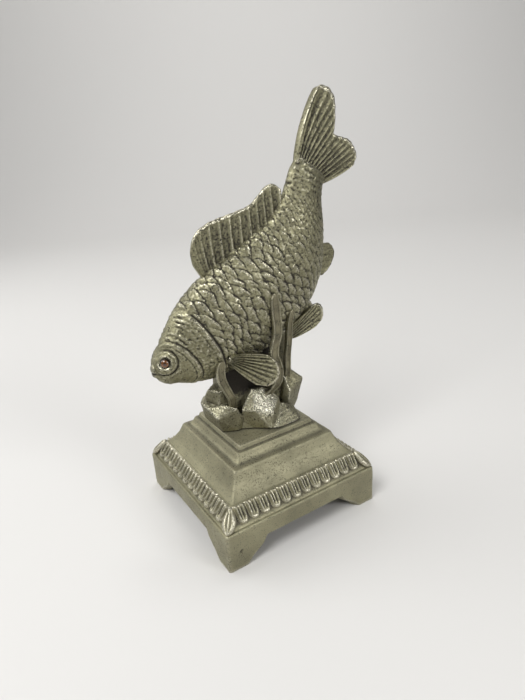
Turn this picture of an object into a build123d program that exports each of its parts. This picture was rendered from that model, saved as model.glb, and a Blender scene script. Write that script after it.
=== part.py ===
"""Fish figurine: a cast carp diving over a pile of rocks, bolted to a square plinth on bracket feet."""

import os
from math import cos, hypot, radians, sin, tan

from build123d import *

# General fits
fin_fit = 0.1
bolt_fit = 0.25
cut_overrun = 2.0

# Plinth: a hollow square casting, open underneath
plinth_side = 80.0
plinth_wall = 3.5
foot_height = 10.4
foot_sole = 7.8
foot_curve_reach = 10.8
face_height = 18.2
band_height = 7.8
band_depth = 7.2
band_bulge = 0.2
cove_height = 10.7
cove_depth = 6.5
cove_hollow = 0.9
ledge_width = 4.7
lower_step_height = 4.2
step_set_in = 1.9
upper_step_height = 2.3
corner_round = 1.2
tongue_count = 12
tongue_rise = 1.3
tongue_row_share = 0.8175
tongue_width_share = 0.88
tongue_tip_share = 0.54
tongue_length_share = 0.74
leaf_rise = 1.5
leaf_width_share = 1.0
leaf_length_share = 0.78
foot_curve_shares = [(0.0, 0.0), (0.17, 0.28), (0.37, 0.46), (0.72, 0.7), (1.0, 1.0)]

# Rock mound: stones on the plinth's top, corners as shares of the mound's half width
mound_half = 20.0
ground_height = 6.0
left_stone_height = 14.0
middle_stone_height = 17.0
front_stone_height = 10.0
right_stone_height = 22.0
low_stone_height = 8.0
rear_stone_height = 11.0
column_reach = 12.0
ground_shares = [(-0.95, 0.45), (-0.97, -0.15), (-0.5, -0.5), (-0.1, -0.72), (0.3, -0.86)]
ground_shares += [(0.72, -0.8), (0.94, -0.35), (0.94, 0.45), (0.4, 0.85), (-0.45, 0.82)]
left_stone_shares = [(-0.98, 0.5), (-1.0, -0.36), (-0.68, -0.64), (-0.36, -0.3), (-0.42, 0.46)]
middle_stone_shares = [(-0.5, -0.4), (-0.08, -0.72), (0.42, -0.76), (0.5, -0.2), (-0.3, 0.1)]
front_stone_shares = [(-0.54, -0.46), (-0.1, -0.76), (0.17, -0.78), (0.26, -0.5), (-0.3, -0.3)]
right_stone_shares = [(0.5, -0.36), (0.94, -0.36), (0.97, 0.0), (0.84, 0.12), (0.42, 0.12)]
low_stone_shares = [(0.24, -0.7), (0.36, -0.92), (0.72, -0.88), (0.86, -0.5), (0.42, -0.36)]
rear_stone_shares = [(0.86, 0.3), (0.74, 0.8), (0.1, 0.92), (-0.6, 0.82), (-0.7, 0.36)]
column_shares = [(-0.92, -0.16), (0.5, -0.36), (1.0, -0.22), (0.9, 0.24), (-0.92, 0.24)]

# Fish body: sections from snout to tail, each from the back to the belly
fish_run = 91.8
fish_rise = 88.0
fish_half_thickness = 10.8
snout_reach = 45.3
belly_gap = 26.4
body_section_shares = [
    (0.000, 0.150, 0.010, 0.094, 0.19),
    (0.018, 0.184, 0.052, 0.056, 0.44),
    (0.050, 0.244, 0.117, 0.027, 0.63),
    (0.090, 0.310, 0.197, 0.008, 0.78),
    (0.148, 0.389, 0.291, 0.000, 0.89),
    (0.218, 0.457, 0.400, 0.009, 0.96),
    (0.319, 0.527, 0.570, 0.055, 1.00),
    (0.439, 0.594, 0.744, 0.152, 0.96),
    (0.553, 0.652, 0.897, 0.300, 0.87),
    (0.631, 0.702, 0.958, 0.448, 0.78),
    (0.686, 0.750, 0.972, 0.593, 0.68),
    (0.745, 0.818, 0.970, 0.699, 0.57),
    (0.772, 0.875, 0.969, 0.789, 0.49),
    (0.802, 0.948, 0.984, 0.852, 0.40),
    (0.841, 1.000, 1.000, 0.877, 0.28),
]

# Dorsal fin, let into a groove along the back
dorsal_length = 50.6
dorsal_height = 13.6
dorsal_thickness = 2.2
dorsal_angle = 30.4
dorsal_root_share = (0.269, 0.527)
dorsal_edge_shares = [(0.0, -0.24), (0.02, 0.4), (0.07, 0.73), (0.17, 0.98), (0.28, 1.0), (0.425, 0.86)]
dorsal_edge_shares += [(0.57, 0.67), (0.71, 0.54), (0.855, 0.57), (0.955, 0.52), (0.985, -0.24)]
dorsal_base_shares = [(0.985, -0.24), (0.85, -0.4), (0.65, -0.5), (0.33, -0.4), (0.0, -0.24)]
dorsal_tenon_shares = [(0.08, 0.1), (0.08, -0.26), (0.28, -0.44), (0.65, -0.56)]
dorsal_tenon_shares += [(0.85, -0.45), (0.93, -0.26), (0.93, 0.1)]

# Tail fin, let into a slot across the end of the body
tail_length = 31.0
tail_half_span = 18.0
tail_thickness = 2.6
tail_angle = 45.0
tail_root_share = (0.918, 0.935)
tail_upper_shares = [(-0.06, 0.44), (0.06, 0.55), (0.335, 0.79), (0.613, 0.96), (0.83, 1.0), (0.955, 0.9)]
tail_upper_shares += [(0.985, 0.594), (0.73, 0.1), (0.62, -0.02)]
tail_lower_shares = [(0.62, -0.02), (0.68, -0.256), (0.755, -0.5), (0.75, -0.783), (0.69, -0.95)]
tail_lower_shares += [(0.54, -1.0), (0.323, -0.86), (0.1, -0.6), (0.0, -0.44)]
tail_tenon_shares = [(0.16, 0.3), (-0.2, 0.3), (-0.2, -0.3), (0.16, -0.3)]

# Anal fin, let into the belly
anal_length = 17.0
anal_height = 7.2
anal_thickness = 2.0
anal_angle = 261.0
anal_root_share = (0.985, 0.566)
anal_edge_shares = [(0.0, -0.4), (0.14, 0.72), (0.36, 1.0), (0.62, 0.86), (0.9, 0.3), (1.0, -0.4)]
anal_tenon_shares = [(0.25, 0.3), (0.25, -0.6), (0.75, -0.6), (0.75, 0.3)]

# Pectoral fins, one on each flank, each held by a spigot
pectoral_length = 24.7
pectoral_half_width = 8.5
pectoral_thickness = 2.0
pectoral_dip = 24.8
pectoral_splay = 14.7
pectoral_root_share = (0.336, 0.110)
pectoral_offset_share = 0.86
pectoral_edge_shares = [(0.0, 0.1), (0.17, 0.35), (0.43, 0.58), (0.67, 0.68), (0.93, 0.22), (1.0, -0.17)]
pectoral_edge_shares += [(0.98, -0.58), (0.88, -0.9), (0.61, -1.0), (0.26, -0.62), (0.02, -0.16)]
spigot_radius = 1.5
spigot_length = 4.5
spigot_place_share = 0.12

# Pelvic fins, a pair swept back under the belly
pelvic_length = 20.0
pelvic_half_width = 5.4
pelvic_thickness = 1.8
pelvic_angle = 24.0
pelvic_splay = 5.0
pelvic_offset_share = 0.22
pelvic_root_share = (0.755, 0.120)
pelvic_edge_shares = [(-0.12, 0.5), (0.3, 0.72), (0.7, 1.0), (1.0, 0.76), (0.98, -0.6), (0.52, -1.0)]
pelvic_edge_shares += [(0.0, -0.62), (-0.14, -0.1)]
pelvic_tenon_shares = [(0.04, 0.0), (0.36, 0.0), (0.36, 1.6), (0.04, 1.6)]

# Water weed blades rooted in the rocks, each foot placed by shares of the mound's half width
weed_root_depth = 7.0
weed_thickness = 2.3
near_weed_foot_share = (0.335, -0.62)
near_weed_foot_height = 14.0
near_weed_height = 46.5
near_weed_width = 4.6
near_weed_lean = 1.9
near_weed_shares = [(0.0, 0.0), (-0.04, 0.11), (0.38, 0.23), (0.02, 0.41)]
near_weed_shares += [(0.3, 0.56), (0.56, 0.74), (0.72, 0.91), (0.8, 1.0)]
far_weed_foot_share = (0.78, -0.415)
far_weed_foot_height = 18.0
far_weed_height = 32.5
far_weed_width = 3.2
far_weed_lean = -0.4
far_weed_shares = [(0.0, 0.0), (0.14, 0.14), (0.48, 0.5), (0.66, 0.77), (0.94, 0.91), (1.1, 1.0)]
front_weed_foot_share = (-0.68, -0.415)
front_weed_foot_height = 12.5
front_weed_height = 24.0
front_weed_width = 4.2
front_weed_lean = -1.1
front_weed_shares = [(0.0, 0.0), (-0.24, 0.13), (-0.79, 0.36), (-1.38, 0.66), (-1.3, 0.86), (-1.15, 1.0)]

# Glass eyes, seated in sockets
eye_radius = 3.3
eye_dome = 1.5
eye_seat = 1.6
eye_place_share = (0.050, 0.158)
eye_offset_share = 0.52
eye_turn = 29.0
eye_tilt = 7.5

# Tie stud, washer and nut that pull fish, rocks and plinth together
stud_radius = 3.0
stud_grip = 12.0
stud_tail = 2.0
stud_place = -2.0
washer_radius = 7.0
washer_thickness = 1.4
nut_flats = 10.0
nut_height = 5.0

# Pins that keep the rocks square on the plinth
pin_radius = 1.5
pin_grip = 4.0
pin_spacing = 24.0

# Levels and half widths that follow
plinth_half = plinth_side / 2
band_half = plinth_half - band_depth
cove_half = band_half - cove_depth
lower_step_half = cove_half - ledge_width
upper_step_half = lower_step_half - step_set_in
sole_start = plinth_half - foot_sole
arch_half = sole_start - foot_curve_reach
band_top = face_height + band_height
cove_top = band_top + cove_height
step_top = cove_top + lower_step_height
plinth_height = step_top + upper_step_height
plate_underside = plinth_height - plinth_wall
band_slope = hypot(band_depth, band_height)
band_ridge = hypot(band_depth, band_slope)
tongue_pitch = plinth_side * tongue_row_share / tongue_count
belly_level = plinth_height + belly_gap
column_height = belly_gap + column_reach
pectoral_offset = fish_half_thickness * pectoral_offset_share
pelvic_offset = fish_half_thickness * pelvic_offset_share
eye_offset = fish_half_thickness * eye_offset_share


def body_point(x_share, z_share):
    """A place in the fish's middle plane, from shares of its run and rise."""
    return (x_share * fish_run - snout_reach, belly_level + z_share * fish_rise)


def scaled(shares, length, width):
    """Outline points from shares of a length and a width."""
    return [(length * along, width * across) for along, across in shares]


def fin_plane(root, angle):
    """The fish's middle plane, with its origin at the root and its x axis turned up by the angle."""
    x_dir = (cos(radians(angle)), 0, sin(radians(angle)))
    return Plane(origin=(root[0], 0, root[1]), x_dir=x_dir, z_dir=(0, -1, 0))


def side_fin_plane(root, offset, angle, splay):
    """A plane on the left flank, turned up by the angle and splayed away from the body."""
    flat = cos(radians(angle))
    along = Vector(flat * cos(radians(splay)), -flat * sin(radians(splay)), sin(radians(angle)))
    outward = Vector(0, -1, 0)
    normal = outward - along * along.dot(outward)
    return Plane(origin=(root[0], -offset, root[1]), x_dir=along, z_dir=normal)


def smooth_outline(*edges):
    """A flat shape inside smooth edges that follow each other, shut by a straight line."""
    with BuildSketch() as shape:
        with BuildLine():
            for points in edges:
                Spline(*points)
            if edges[-1][-1] != edges[0][0]:
                Line(edges[-1][-1], edges[0][0])
        make_face()
    return shape.sketch


def straight_outline(points):
    """A flat shape with straight sides."""
    with BuildSketch() as shape:
        with BuildLine():
            Polyline(*points, close=True)
        make_face()
    return shape.sketch


def blade_outline(path_shares, width, height):
    """A weed blade: its middle line widened to both sides, with a pointed tip."""
    path = scaled(path_shares, width, height)
    half = width / 2
    left = [(x - half, y) for x, y in path[:-1]] + path[-1:]
    right = path[-1:] + [(x + half, y) for x, y in path[-2::-1]]
    return smooth_outline(left, right)


def blade_root(width):
    """The straight root of a weed blade, which stands in a slot in the rocks."""
    half = width / 2
    return straight_outline([(-half, -weed_root_depth), (half, -weed_root_depth), (half, 0), (-half, 0)])


def weed_plane(foot_share, foot_height, height, lean):
    """The plane of a weed blade: upright, leaning in so that its tip stands nearer the fish."""
    foot = (mound_half * foot_share[0], mound_half * foot_share[1], plinth_height + foot_height)
    return Plane(origin=foot, x_dir=(1, 0, 0), z_dir=(0, -height, lean))


def stone(corner_shares, height, flare, lean, turn):
    """A stone on the plinth's top that widens upwards and is broken off along a slanted plane."""
    corners = [(mound_half * x, mound_half * y) for x, y in corner_shares]
    middle_x = sum(x for x, y in corners) / len(corners)
    middle_y = sum(y for x, y in corners) / len(corners)
    slope_x = sin(radians(lean)) * cos(radians(turn))
    slope_y = sin(radians(lean)) * sin(radians(turn))
    broken_top = Plane(
        origin=(middle_x, middle_y, plinth_height + height),
        z_dir=(slope_x, slope_y, cos(radians(lean))),
    )
    with BuildPart() as block:
        with BuildSketch(Plane.XY.offset(plinth_height)):
            with BuildLine():
                Polyline(*corners, close=True)
            make_face()
        extrude(amount=height + mound_half * tan(radians(lean)), taper=-flare)
        split(bisect_by=broken_top, keep=Keep.BOTTOM)
    return block.part


def square_moulding(draw_profile):
    """A profile drawn out along both sides of a square, so that its corners are mitred."""
    profile = draw_profile()
    with BuildPart() as moulding:
        for plane, mode in ((Plane.XZ, Mode.ADD), (Plane.YZ, Mode.INTERSECT)):
            with BuildSketch(plane):
                add(profile)
            extrude(amount=plinth_side, both=True, mode=mode)
    return moulding.part


def plinth_profile():
    """The plinth's outer mouldings: upright face, carved band, cove, ledge and two steps."""
    band_middle = (plinth_half + band_half) / 2
    cove_middle = (band_half + cove_half) / 2
    with BuildSketch() as profile:
        with BuildLine():
            Polyline((0, 0), (plinth_half, 0), (plinth_half, face_height))
            ThreePointArc(
                (plinth_half, face_height),
                (band_middle + band_bulge, face_height + band_height / 2 + band_bulge),
                (band_half, band_top),
            )
            ThreePointArc(
                (band_half, band_top),
                (cove_middle - cove_hollow, band_top + cove_height / 2 - cove_hollow),
                (cove_half, cove_top),
            )
            Polyline(
                (cove_half, cove_top),
                (lower_step_half, cove_top),
                (lower_step_half, step_top),
                (upper_step_half, step_top),
                (upper_step_half, plinth_height),
                (0, plinth_height),
            )
            mirror(about=Plane.YZ)
        make_face()
    return profile.sketch


def tongue_outline():
    """A carved tongue on the band, straight at its upper end and rounded at its lower one."""
    half_width = tongue_pitch * tongue_width_share / 2
    half_tip = tongue_pitch * tongue_tip_share / 2
    half_length = band_slope * tongue_length_share / 2
    left_tip = (-half_tip, half_tip - half_length)
    right_tip = (half_tip, half_tip - half_length)
    with BuildSketch() as shape:
        with BuildLine():
            Polyline(left_tip, (-half_width, half_length), (half_width, half_length), right_tip)
            ThreePointArc(right_tip, (0, -half_length), left_tip)
        make_face()
    return shape.sketch


def leaf_outline():
    """A carved leaf for a corner of the band, pointed at both ends."""
    half_width = tongue_pitch * leaf_width_share / 2
    half_length = band_ridge * leaf_length_share / 2
    with BuildSketch() as shape:
        with BuildLine():
            ThreePointArc((0, -half_length), (half_width, 0), (0, half_length))
            ThreePointArc((0, half_length), (-half_width, 0), (0, -half_length))
        make_face()
    return shape.sketch


def hollow_profile():
    """The space under the plinth, one wall in from the mouldings."""
    with BuildSketch() as profile:
        with BuildLine():
            Polyline(
                (0, -cut_overrun),
                (plinth_half - plinth_wall, -cut_overrun),
                (plinth_half - plinth_wall, face_height - plinth_wall / 2),
                (band_half - plinth_wall, band_top - plinth_wall / 2),
                (cove_half - plinth_wall, cove_top - plinth_wall),
                (lower_step_half - plinth_wall, cove_top - plinth_wall),
                (lower_step_half - plinth_wall, plate_underside),
                (0, plate_underside),
            )
            mirror(about=Plane.YZ)
        make_face()
    return profile.sketch


def arch_profile():
    """The open arch between two bracket feet."""
    curve = [
        (arch_half + foot_curve_reach * along, foot_height * (1 - down)) for along, down in foot_curve_shares
    ]
    with BuildSketch() as profile:
        with BuildLine():
            Line((0, foot_height), curve[0])
            Spline(*curve)
            Polyline(curve[-1], (sole_start, -cut_overrun), (0, -cut_overrun))
            mirror(about=Plane.YZ)
        make_face()
    return profile.sketch


# Planes and outlines that two pieces share
dorsal_plane = fin_plane(body_point(*dorsal_root_share), dorsal_angle)
tail_plane = fin_plane(body_point(*tail_root_share), tail_angle)
anal_plane = fin_plane(body_point(*anal_root_share), anal_angle)
dorsal_tenon = straight_outline(scaled(dorsal_tenon_shares, dorsal_length, dorsal_height))
tail_tenon = straight_outline(scaled(tail_tenon_shares, tail_length, tail_half_span))
anal_tenon = straight_outline(scaled(anal_tenon_shares, anal_length, anal_height))
pectoral_plane = side_fin_plane(
    body_point(*pectoral_root_share), pectoral_offset, -pectoral_dip, pectoral_splay
)
spigot_plane = Plane(
    origin=pectoral_plane.from_local_coords((pectoral_length * spigot_place_share, 0, 0)),
    z_dir=(0, 1, 0),
)
pelvic_plane = side_fin_plane(body_point(*pelvic_root_share), pelvic_offset, pelvic_angle, pelvic_splay)
pelvic_tenon = straight_outline(scaled(pelvic_tenon_shares, pelvic_length, pelvic_half_width))
near_weed_plane = weed_plane(near_weed_foot_share, near_weed_foot_height, near_weed_height, near_weed_lean)
far_weed_plane = weed_plane(far_weed_foot_share, far_weed_foot_height, far_weed_height, far_weed_lean)
front_weed_plane = weed_plane(
    front_weed_foot_share, front_weed_foot_height, front_weed_height, front_weed_lean
)
weeds = {
    "near_weed": (near_weed_plane, near_weed_shares, near_weed_width, near_weed_height),
    "far_weed": (far_weed_plane, far_weed_shares, far_weed_width, far_weed_height),
    "front_weed": (front_weed_plane, front_weed_shares, front_weed_width, front_weed_height),
}
eye_x, eye_z = body_point(*eye_place_share)
eye_across = Vector(cos(radians(eye_turn)), -sin(radians(eye_turn)), 0)
eye_axis = Vector(
    -sin(radians(eye_turn)) * cos(radians(eye_tilt)),
    -cos(radians(eye_turn)) * cos(radians(eye_tilt)),
    sin(radians(eye_tilt)),
)
eye_plane = Plane(origin=(eye_x, -eye_offset, eye_z), x_dir=eye_across, z_dir=eye_axis)
eye_profile_plane = Plane(
    origin=(eye_x, -eye_offset, eye_z), x_dir=eye_across, z_dir=eye_across.cross(eye_axis)
)

# Stones of the mound: corners, height, then in degrees the flare, the lean of the top and its direction
stones = [
    (ground_shares, ground_height, 2, 4, -90),
    (left_stone_shares, left_stone_height, 9, 16, -150),
    (middle_stone_shares, middle_stone_height, 3, 35, -95),
    (front_stone_shares, front_stone_height, -4, 22, -75),
    (right_stone_shares, right_stone_height, 14, 36, -72),
    (low_stone_shares, low_stone_height, -5, 24, -70),
    (rear_stone_shares, rear_stone_height, -3, 20, 80),
    (column_shares, column_height, -2, 0, 0),
]

# The fish before its slots and holes are cut
with BuildPart() as fish_blank:
    for back_x, back_z, belly_x, belly_z, thickness in body_section_shares:
        back = Vector(*body_point(back_x, back_z))
        belly = Vector(*body_point(belly_x, belly_z))
        middle = (back + belly) / 2
        rise = back - belly
        section_plane = Plane(
            origin=(middle.X, 0, middle.Y), x_dir=(rise.X, 0, rise.Y), z_dir=(rise.Y, 0, -rise.X)
        )
        with BuildSketch(section_plane):
            Ellipse(rise.length / 2, fish_half_thickness * thickness)
    loft()
stud_top = fish_blank.part.bounding_box().min.Z + stud_grip

with BuildPart() as side_carving:
    band_middle = (plinth_half + band_half) / 2
    band_level = face_height + band_height / 2
    side_plane = Plane(
        origin=(band_middle, 0, band_level), x_dir=(0, 1, 0), z_dir=(band_height, 0, band_depth)
    )
    corner_plane = Plane(
        origin=(band_middle, band_middle, band_level),
        x_dir=(-1, 1, 0),
        z_dir=(band_height, band_height, 2 * band_depth),
    )
    with BuildSketch(side_plane):
        with GridLocations(tongue_pitch, 0, tongue_count, 1):
            add(tongue_outline())
    extrude(amount=tongue_rise, both=True)
    with BuildSketch(corner_plane):
        add(leaf_outline())
    extrude(amount=leaf_rise, both=True)

with BuildPart() as plinth:
    add(square_moulding(plinth_profile))
    for quarter in range(4):
        add(side_carving.part.rotate(Axis.Z, 90 * quarter))
    with BuildSketch():
        RectangleRounded(plinth_side, plinth_side, corner_round)
    extrude(amount=plinth_height, mode=Mode.INTERSECT)
    add(square_moulding(hollow_profile), mode=Mode.SUBTRACT)
    for plane in (Plane.XZ, Plane.YZ):
        with BuildSketch(plane):
            add(arch_profile())
        extrude(amount=plinth_side, both=True, mode=Mode.SUBTRACT)
    with BuildSketch(Plane.XY.offset(plate_underside)):
        with Locations((stud_place, 0)):
            Circle(stud_radius + bolt_fit)
        with Locations((stud_place, 0)):
            with GridLocations(pin_spacing, 0, 2, 1):
                Circle(pin_radius + fin_fit)
    extrude(amount=plinth_wall + cut_overrun, mode=Mode.SUBTRACT)
plinth.part.label = "plinth"

with BuildPart() as rock_mound:
    for corner_shares, height, flare, lean, turn in stones:
        add(stone(corner_shares, height, flare, lean, turn))
    add(fish_blank.part, mode=Mode.SUBTRACT)
    with BuildSketch(Plane.XY.offset(plinth_height)):
        with Locations((stud_place, 0)):
            Circle(stud_radius + bolt_fit)
    extrude(amount=column_height, mode=Mode.SUBTRACT)
    with BuildSketch(Plane.XY.offset(plinth_height)):
        with Locations((stud_place, 0)):
            with GridLocations(pin_spacing, 0, 2, 1):
                Circle(pin_radius + fin_fit)
    extrude(amount=pin_grip + fin_fit, mode=Mode.SUBTRACT)
    with BuildSketch(pelvic_plane):
        add(smooth_outline(scaled(pelvic_edge_shares, pelvic_length + fin_fit, pelvic_half_width + fin_fit)))
    pelvic_room = extrude(amount=pelvic_thickness / 2 + fin_fit, both=True, mode=Mode.SUBTRACT)
    mirror(pelvic_room, about=Plane.XZ, mode=Mode.SUBTRACT)
    for blade_plane, path_shares, width, height in weeds.values():
        with BuildSketch(blade_plane):
            add(blade_root(width))
            offset(amount=fin_fit)
        extrude(amount=weed_thickness / 2 + fin_fit, both=True, mode=Mode.SUBTRACT)
rock_mound.part.label = "rock_mound"

with BuildPart() as dorsal_fin:
    with BuildSketch(dorsal_plane):
        add(
            smooth_outline(
                scaled(dorsal_edge_shares, dorsal_length, dorsal_height),
                scaled(dorsal_base_shares, dorsal_length, dorsal_height),
            )
        )
    extrude(amount=dorsal_thickness / 2, both=True)
    add(fish_blank.part, mode=Mode.SUBTRACT)
    with BuildSketch(dorsal_plane):
        add(dorsal_tenon)
    extrude(amount=dorsal_thickness / 2, both=True)
dorsal_fin.part.label = "dorsal_fin"

with BuildPart() as tail_fin:
    with BuildSketch(tail_plane):
        add(
            smooth_outline(
                scaled(tail_upper_shares, tail_length, tail_half_span),
                scaled(tail_lower_shares, tail_length, tail_half_span),
            )
        )
    extrude(amount=tail_thickness / 2, both=True)
    add(fish_blank.part, mode=Mode.SUBTRACT)
    with BuildSketch(tail_plane):
        add(tail_tenon)
    extrude(amount=tail_thickness / 2, both=True)
tail_fin.part.label = "tail_fin"

with BuildPart() as anal_fin:
    with BuildSketch(anal_plane):
        add(smooth_outline(scaled(anal_edge_shares, anal_length, anal_height)))
    extrude(amount=anal_thickness / 2, both=True)
    add(fish_blank.part, mode=Mode.SUBTRACT)
    with BuildSketch(anal_plane):
        add(anal_tenon)
    extrude(amount=anal_thickness / 2, both=True)
anal_fin.part.label = "anal_fin"

with BuildPart() as left_pelvic_fin:
    with BuildSketch(pelvic_plane):
        add(smooth_outline(scaled(pelvic_edge_shares, pelvic_length, pelvic_half_width)))
    extrude(amount=pelvic_thickness / 2, both=True)
    add(fish_blank.part, mode=Mode.SUBTRACT)
    with BuildSketch(pelvic_plane):
        add(pelvic_tenon)
    extrude(amount=pelvic_thickness / 2, both=True)
left_pelvic_fin.part.label = "left_pelvic_fin"

with BuildPart() as right_pelvic_fin:
    mirror(left_pelvic_fin.part, about=Plane.XZ)
right_pelvic_fin.part.label = "right_pelvic_fin"

with BuildPart() as left_pectoral_fin:
    with BuildSketch(pectoral_plane):
        add(smooth_outline(scaled(pectoral_edge_shares, pectoral_length, pectoral_half_width)))
    extrude(amount=pectoral_thickness / 2, both=True)
    add(fish_blank.part, mode=Mode.SUBTRACT)
    with BuildSketch(spigot_plane):
        Circle(spigot_radius)
    extrude(amount=spigot_length)
left_pectoral_fin.part.label = "left_pectoral_fin"

with BuildPart() as right_pectoral_fin:
    mirror(left_pectoral_fin.part, about=Plane.XZ)
right_pectoral_fin.part.label = "right_pectoral_fin"

with BuildPart() as left_eye:
    with BuildSketch(eye_profile_plane):
        with BuildLine():
            Polyline((0, eye_dome), (0, -eye_seat), (eye_radius, -eye_seat), (eye_radius, 0))
            dome_radius = (eye_radius**2 + eye_dome**2) / (2 * eye_dome)
            RadiusArc((eye_radius, 0), (0, eye_dome), -dome_radius)
        make_face()
    revolve(axis=Axis(eye_plane.origin, eye_axis))
left_eye.part.label = "left_eye"

with BuildPart() as right_eye:
    mirror(left_eye.part, about=Plane.XZ)
right_eye.part.label = "right_eye"

with BuildPart() as fish_body:
    add(fish_blank.part)
    for slot_plane, tenon, thickness in (
        (dorsal_plane, dorsal_tenon, dorsal_thickness),
        (tail_plane, tail_tenon, tail_thickness),
        (anal_plane, anal_tenon, anal_thickness),
    ):
        with BuildSketch(slot_plane):
            add(tenon)
            offset(amount=fin_fit)
        extrude(amount=thickness / 2 + fin_fit, both=True, mode=Mode.SUBTRACT)
    with BuildSketch(pelvic_plane):
        add(pelvic_tenon)
        offset(amount=fin_fit)
    pelvic_slot = extrude(amount=pelvic_thickness / 2 + fin_fit, both=True, mode=Mode.SUBTRACT)
    mirror(pelvic_slot, about=Plane.XZ, mode=Mode.SUBTRACT)
    with BuildSketch(spigot_plane):
        Circle(spigot_radius + fin_fit)
    spigot_hole = extrude(amount=spigot_length + fin_fit, both=True, mode=Mode.SUBTRACT)
    mirror(spigot_hole, about=Plane.XZ, mode=Mode.SUBTRACT)
    with BuildSketch(eye_plane.offset(-eye_seat)):
        Circle(eye_radius + fin_fit)
    socket = extrude(amount=eye_seat + eye_dome + cut_overrun, mode=Mode.SUBTRACT)
    mirror(socket, about=Plane.XZ, mode=Mode.SUBTRACT)
    with BuildSketch(Plane.XY.offset(plinth_height)):
        with Locations((stud_place, 0)):
            Circle(stud_radius + fin_fit)
    extrude(amount=stud_top - plinth_height + fin_fit, mode=Mode.SUBTRACT)
fish_body.part.label = "fish_body"

with BuildPart() as tie_washer:
    with BuildSketch(Plane.XY.offset(plate_underside - washer_thickness)):
        with Locations((stud_place, 0)):
            Circle(washer_radius)
            Circle(stud_radius + bolt_fit, mode=Mode.SUBTRACT)
    extrude(amount=washer_thickness)
tie_washer.part.label = "tie_washer"

nut_underside = plate_underside - washer_thickness - nut_height
with BuildPart() as tie_nut:
    with BuildSketch(Plane.XY.offset(nut_underside)):
        with Locations((stud_place, 0)):
            RegularPolygon(nut_flats / 2, 6, major_radius=False)
            Circle(stud_radius + fin_fit, mode=Mode.SUBTRACT)
    extrude(amount=nut_height)
tie_nut.part.label = "tie_nut"

with BuildPart() as tie_stud:
    with BuildSketch(Plane.XY.offset(nut_underside - stud_tail)):
        with Locations((stud_place, 0)):
            Circle(stud_radius)
    extrude(amount=stud_top - nut_underside + stud_tail)
tie_stud.part.label = "tie_stud"

with BuildPart() as locating_pins:
    with BuildSketch(Plane.XY.offset(plate_underside)):
        with Locations((stud_place, 0)):
            with GridLocations(pin_spacing, 0, 2, 1):
                Circle(pin_radius)
    extrude(amount=plinth_wall + pin_grip)
locating_pins.part.label = "locating_pins"

weed_parts = []
for name, (blade_plane, path_shares, width, height) in weeds.items():
    with BuildPart() as weed:
        with BuildSketch(blade_plane):
            add(blade_outline(path_shares, width, height))
            add(blade_root(width))
        extrude(amount=weed_thickness / 2, both=True)
        add(fish_blank.part, mode=Mode.SUBTRACT)
        add(rock_mound.part, mode=Mode.SUBTRACT)
    weed.part.label = name
    weed_parts.append(weed.part)

os.makedirs("parts", exist_ok=True)
pieces = [
    plinth.part,
    rock_mound.part,
    fish_body.part,
    dorsal_fin.part,
    tail_fin.part,
    anal_fin.part,
    left_pelvic_fin.part,
    right_pelvic_fin.part,
    left_pectoral_fin.part,
    right_pectoral_fin.part,
    left_eye.part,
    right_eye.part,
    tie_stud.part,
    tie_washer.part,
    tie_nut.part,
    locating_pins.part,
    *weed_parts,
]

# The shared frame has its origin under the middle of the whole figurine
lowest_x = min(piece.bounding_box().min.X for piece in pieces)
highest_x = max(piece.bounding_box().max.X for piece in pieces)
into_frame = Location((-(lowest_x + highest_x) / 2, 0, 0))
for piece in pieces:
    export_step(piece.moved(into_frame), f"parts/{piece.label}.step")
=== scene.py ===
"""Cast carp over rocks on a square plinth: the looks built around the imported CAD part."""

import math
from collections import namedtuple

import bpy
import numpy as np
from mathutils import Matrix, Vector, noise


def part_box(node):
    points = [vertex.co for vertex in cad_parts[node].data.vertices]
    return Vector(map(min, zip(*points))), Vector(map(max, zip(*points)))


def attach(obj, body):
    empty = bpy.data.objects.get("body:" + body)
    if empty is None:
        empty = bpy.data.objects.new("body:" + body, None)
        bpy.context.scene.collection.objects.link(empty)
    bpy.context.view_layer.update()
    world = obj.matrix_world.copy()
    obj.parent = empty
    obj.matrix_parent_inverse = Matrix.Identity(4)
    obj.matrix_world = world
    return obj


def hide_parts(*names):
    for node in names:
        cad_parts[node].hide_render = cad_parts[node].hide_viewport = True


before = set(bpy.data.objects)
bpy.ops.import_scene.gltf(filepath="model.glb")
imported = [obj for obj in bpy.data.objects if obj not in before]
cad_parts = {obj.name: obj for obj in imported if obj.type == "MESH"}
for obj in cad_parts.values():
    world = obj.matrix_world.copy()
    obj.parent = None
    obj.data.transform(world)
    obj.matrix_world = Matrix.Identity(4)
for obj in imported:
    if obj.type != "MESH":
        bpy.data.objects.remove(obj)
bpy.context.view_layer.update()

# The figurine's shapes are in millimetres from the middle of the plinth's soles
mm = 0.001
plinth_low, plinth_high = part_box("plinth")
plinth_middle = Vector(((plinth_low.x + plinth_high.x) / 2, 0, 0))


def in_frame(points):
    """Millimetres from the plinth's middle, turned into metres in the CAD frame."""
    return np.asarray(points, float) * mm + np.array(plinth_middle)


def through(knots, values, query):
    """A smooth line through the values at the knots, read at the query places."""
    knots, values, query = (np.asarray(x, float) for x in (knots, values, query))
    slopes = np.gradient(values, knots, axis=0)
    k = np.clip(np.searchsorted(knots, query) - 1, 0, len(knots) - 2)
    span = knots[k + 1] - knots[k]
    t = np.clip((query - knots[k]) / span, 0, 1)
    if values.ndim > 1:
        span, t = span[..., None], t[..., None]
    start = (2 * t**3 - 3 * t**2 + 1) * values[k] + (t**3 - 2 * t**2 + t) * span * slopes[k]
    end = (3 * t**2 - 2 * t**3) * values[k + 1] + (t**3 - t**2) * span * slopes[k + 1]
    return start + end


def ramp(x, low, high):
    """0 below low, 1 above high, and a soft rise between."""
    t = np.clip((x - low) / (high - low), 0, 1)
    return t * t * (3 - 2 * t)


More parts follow.
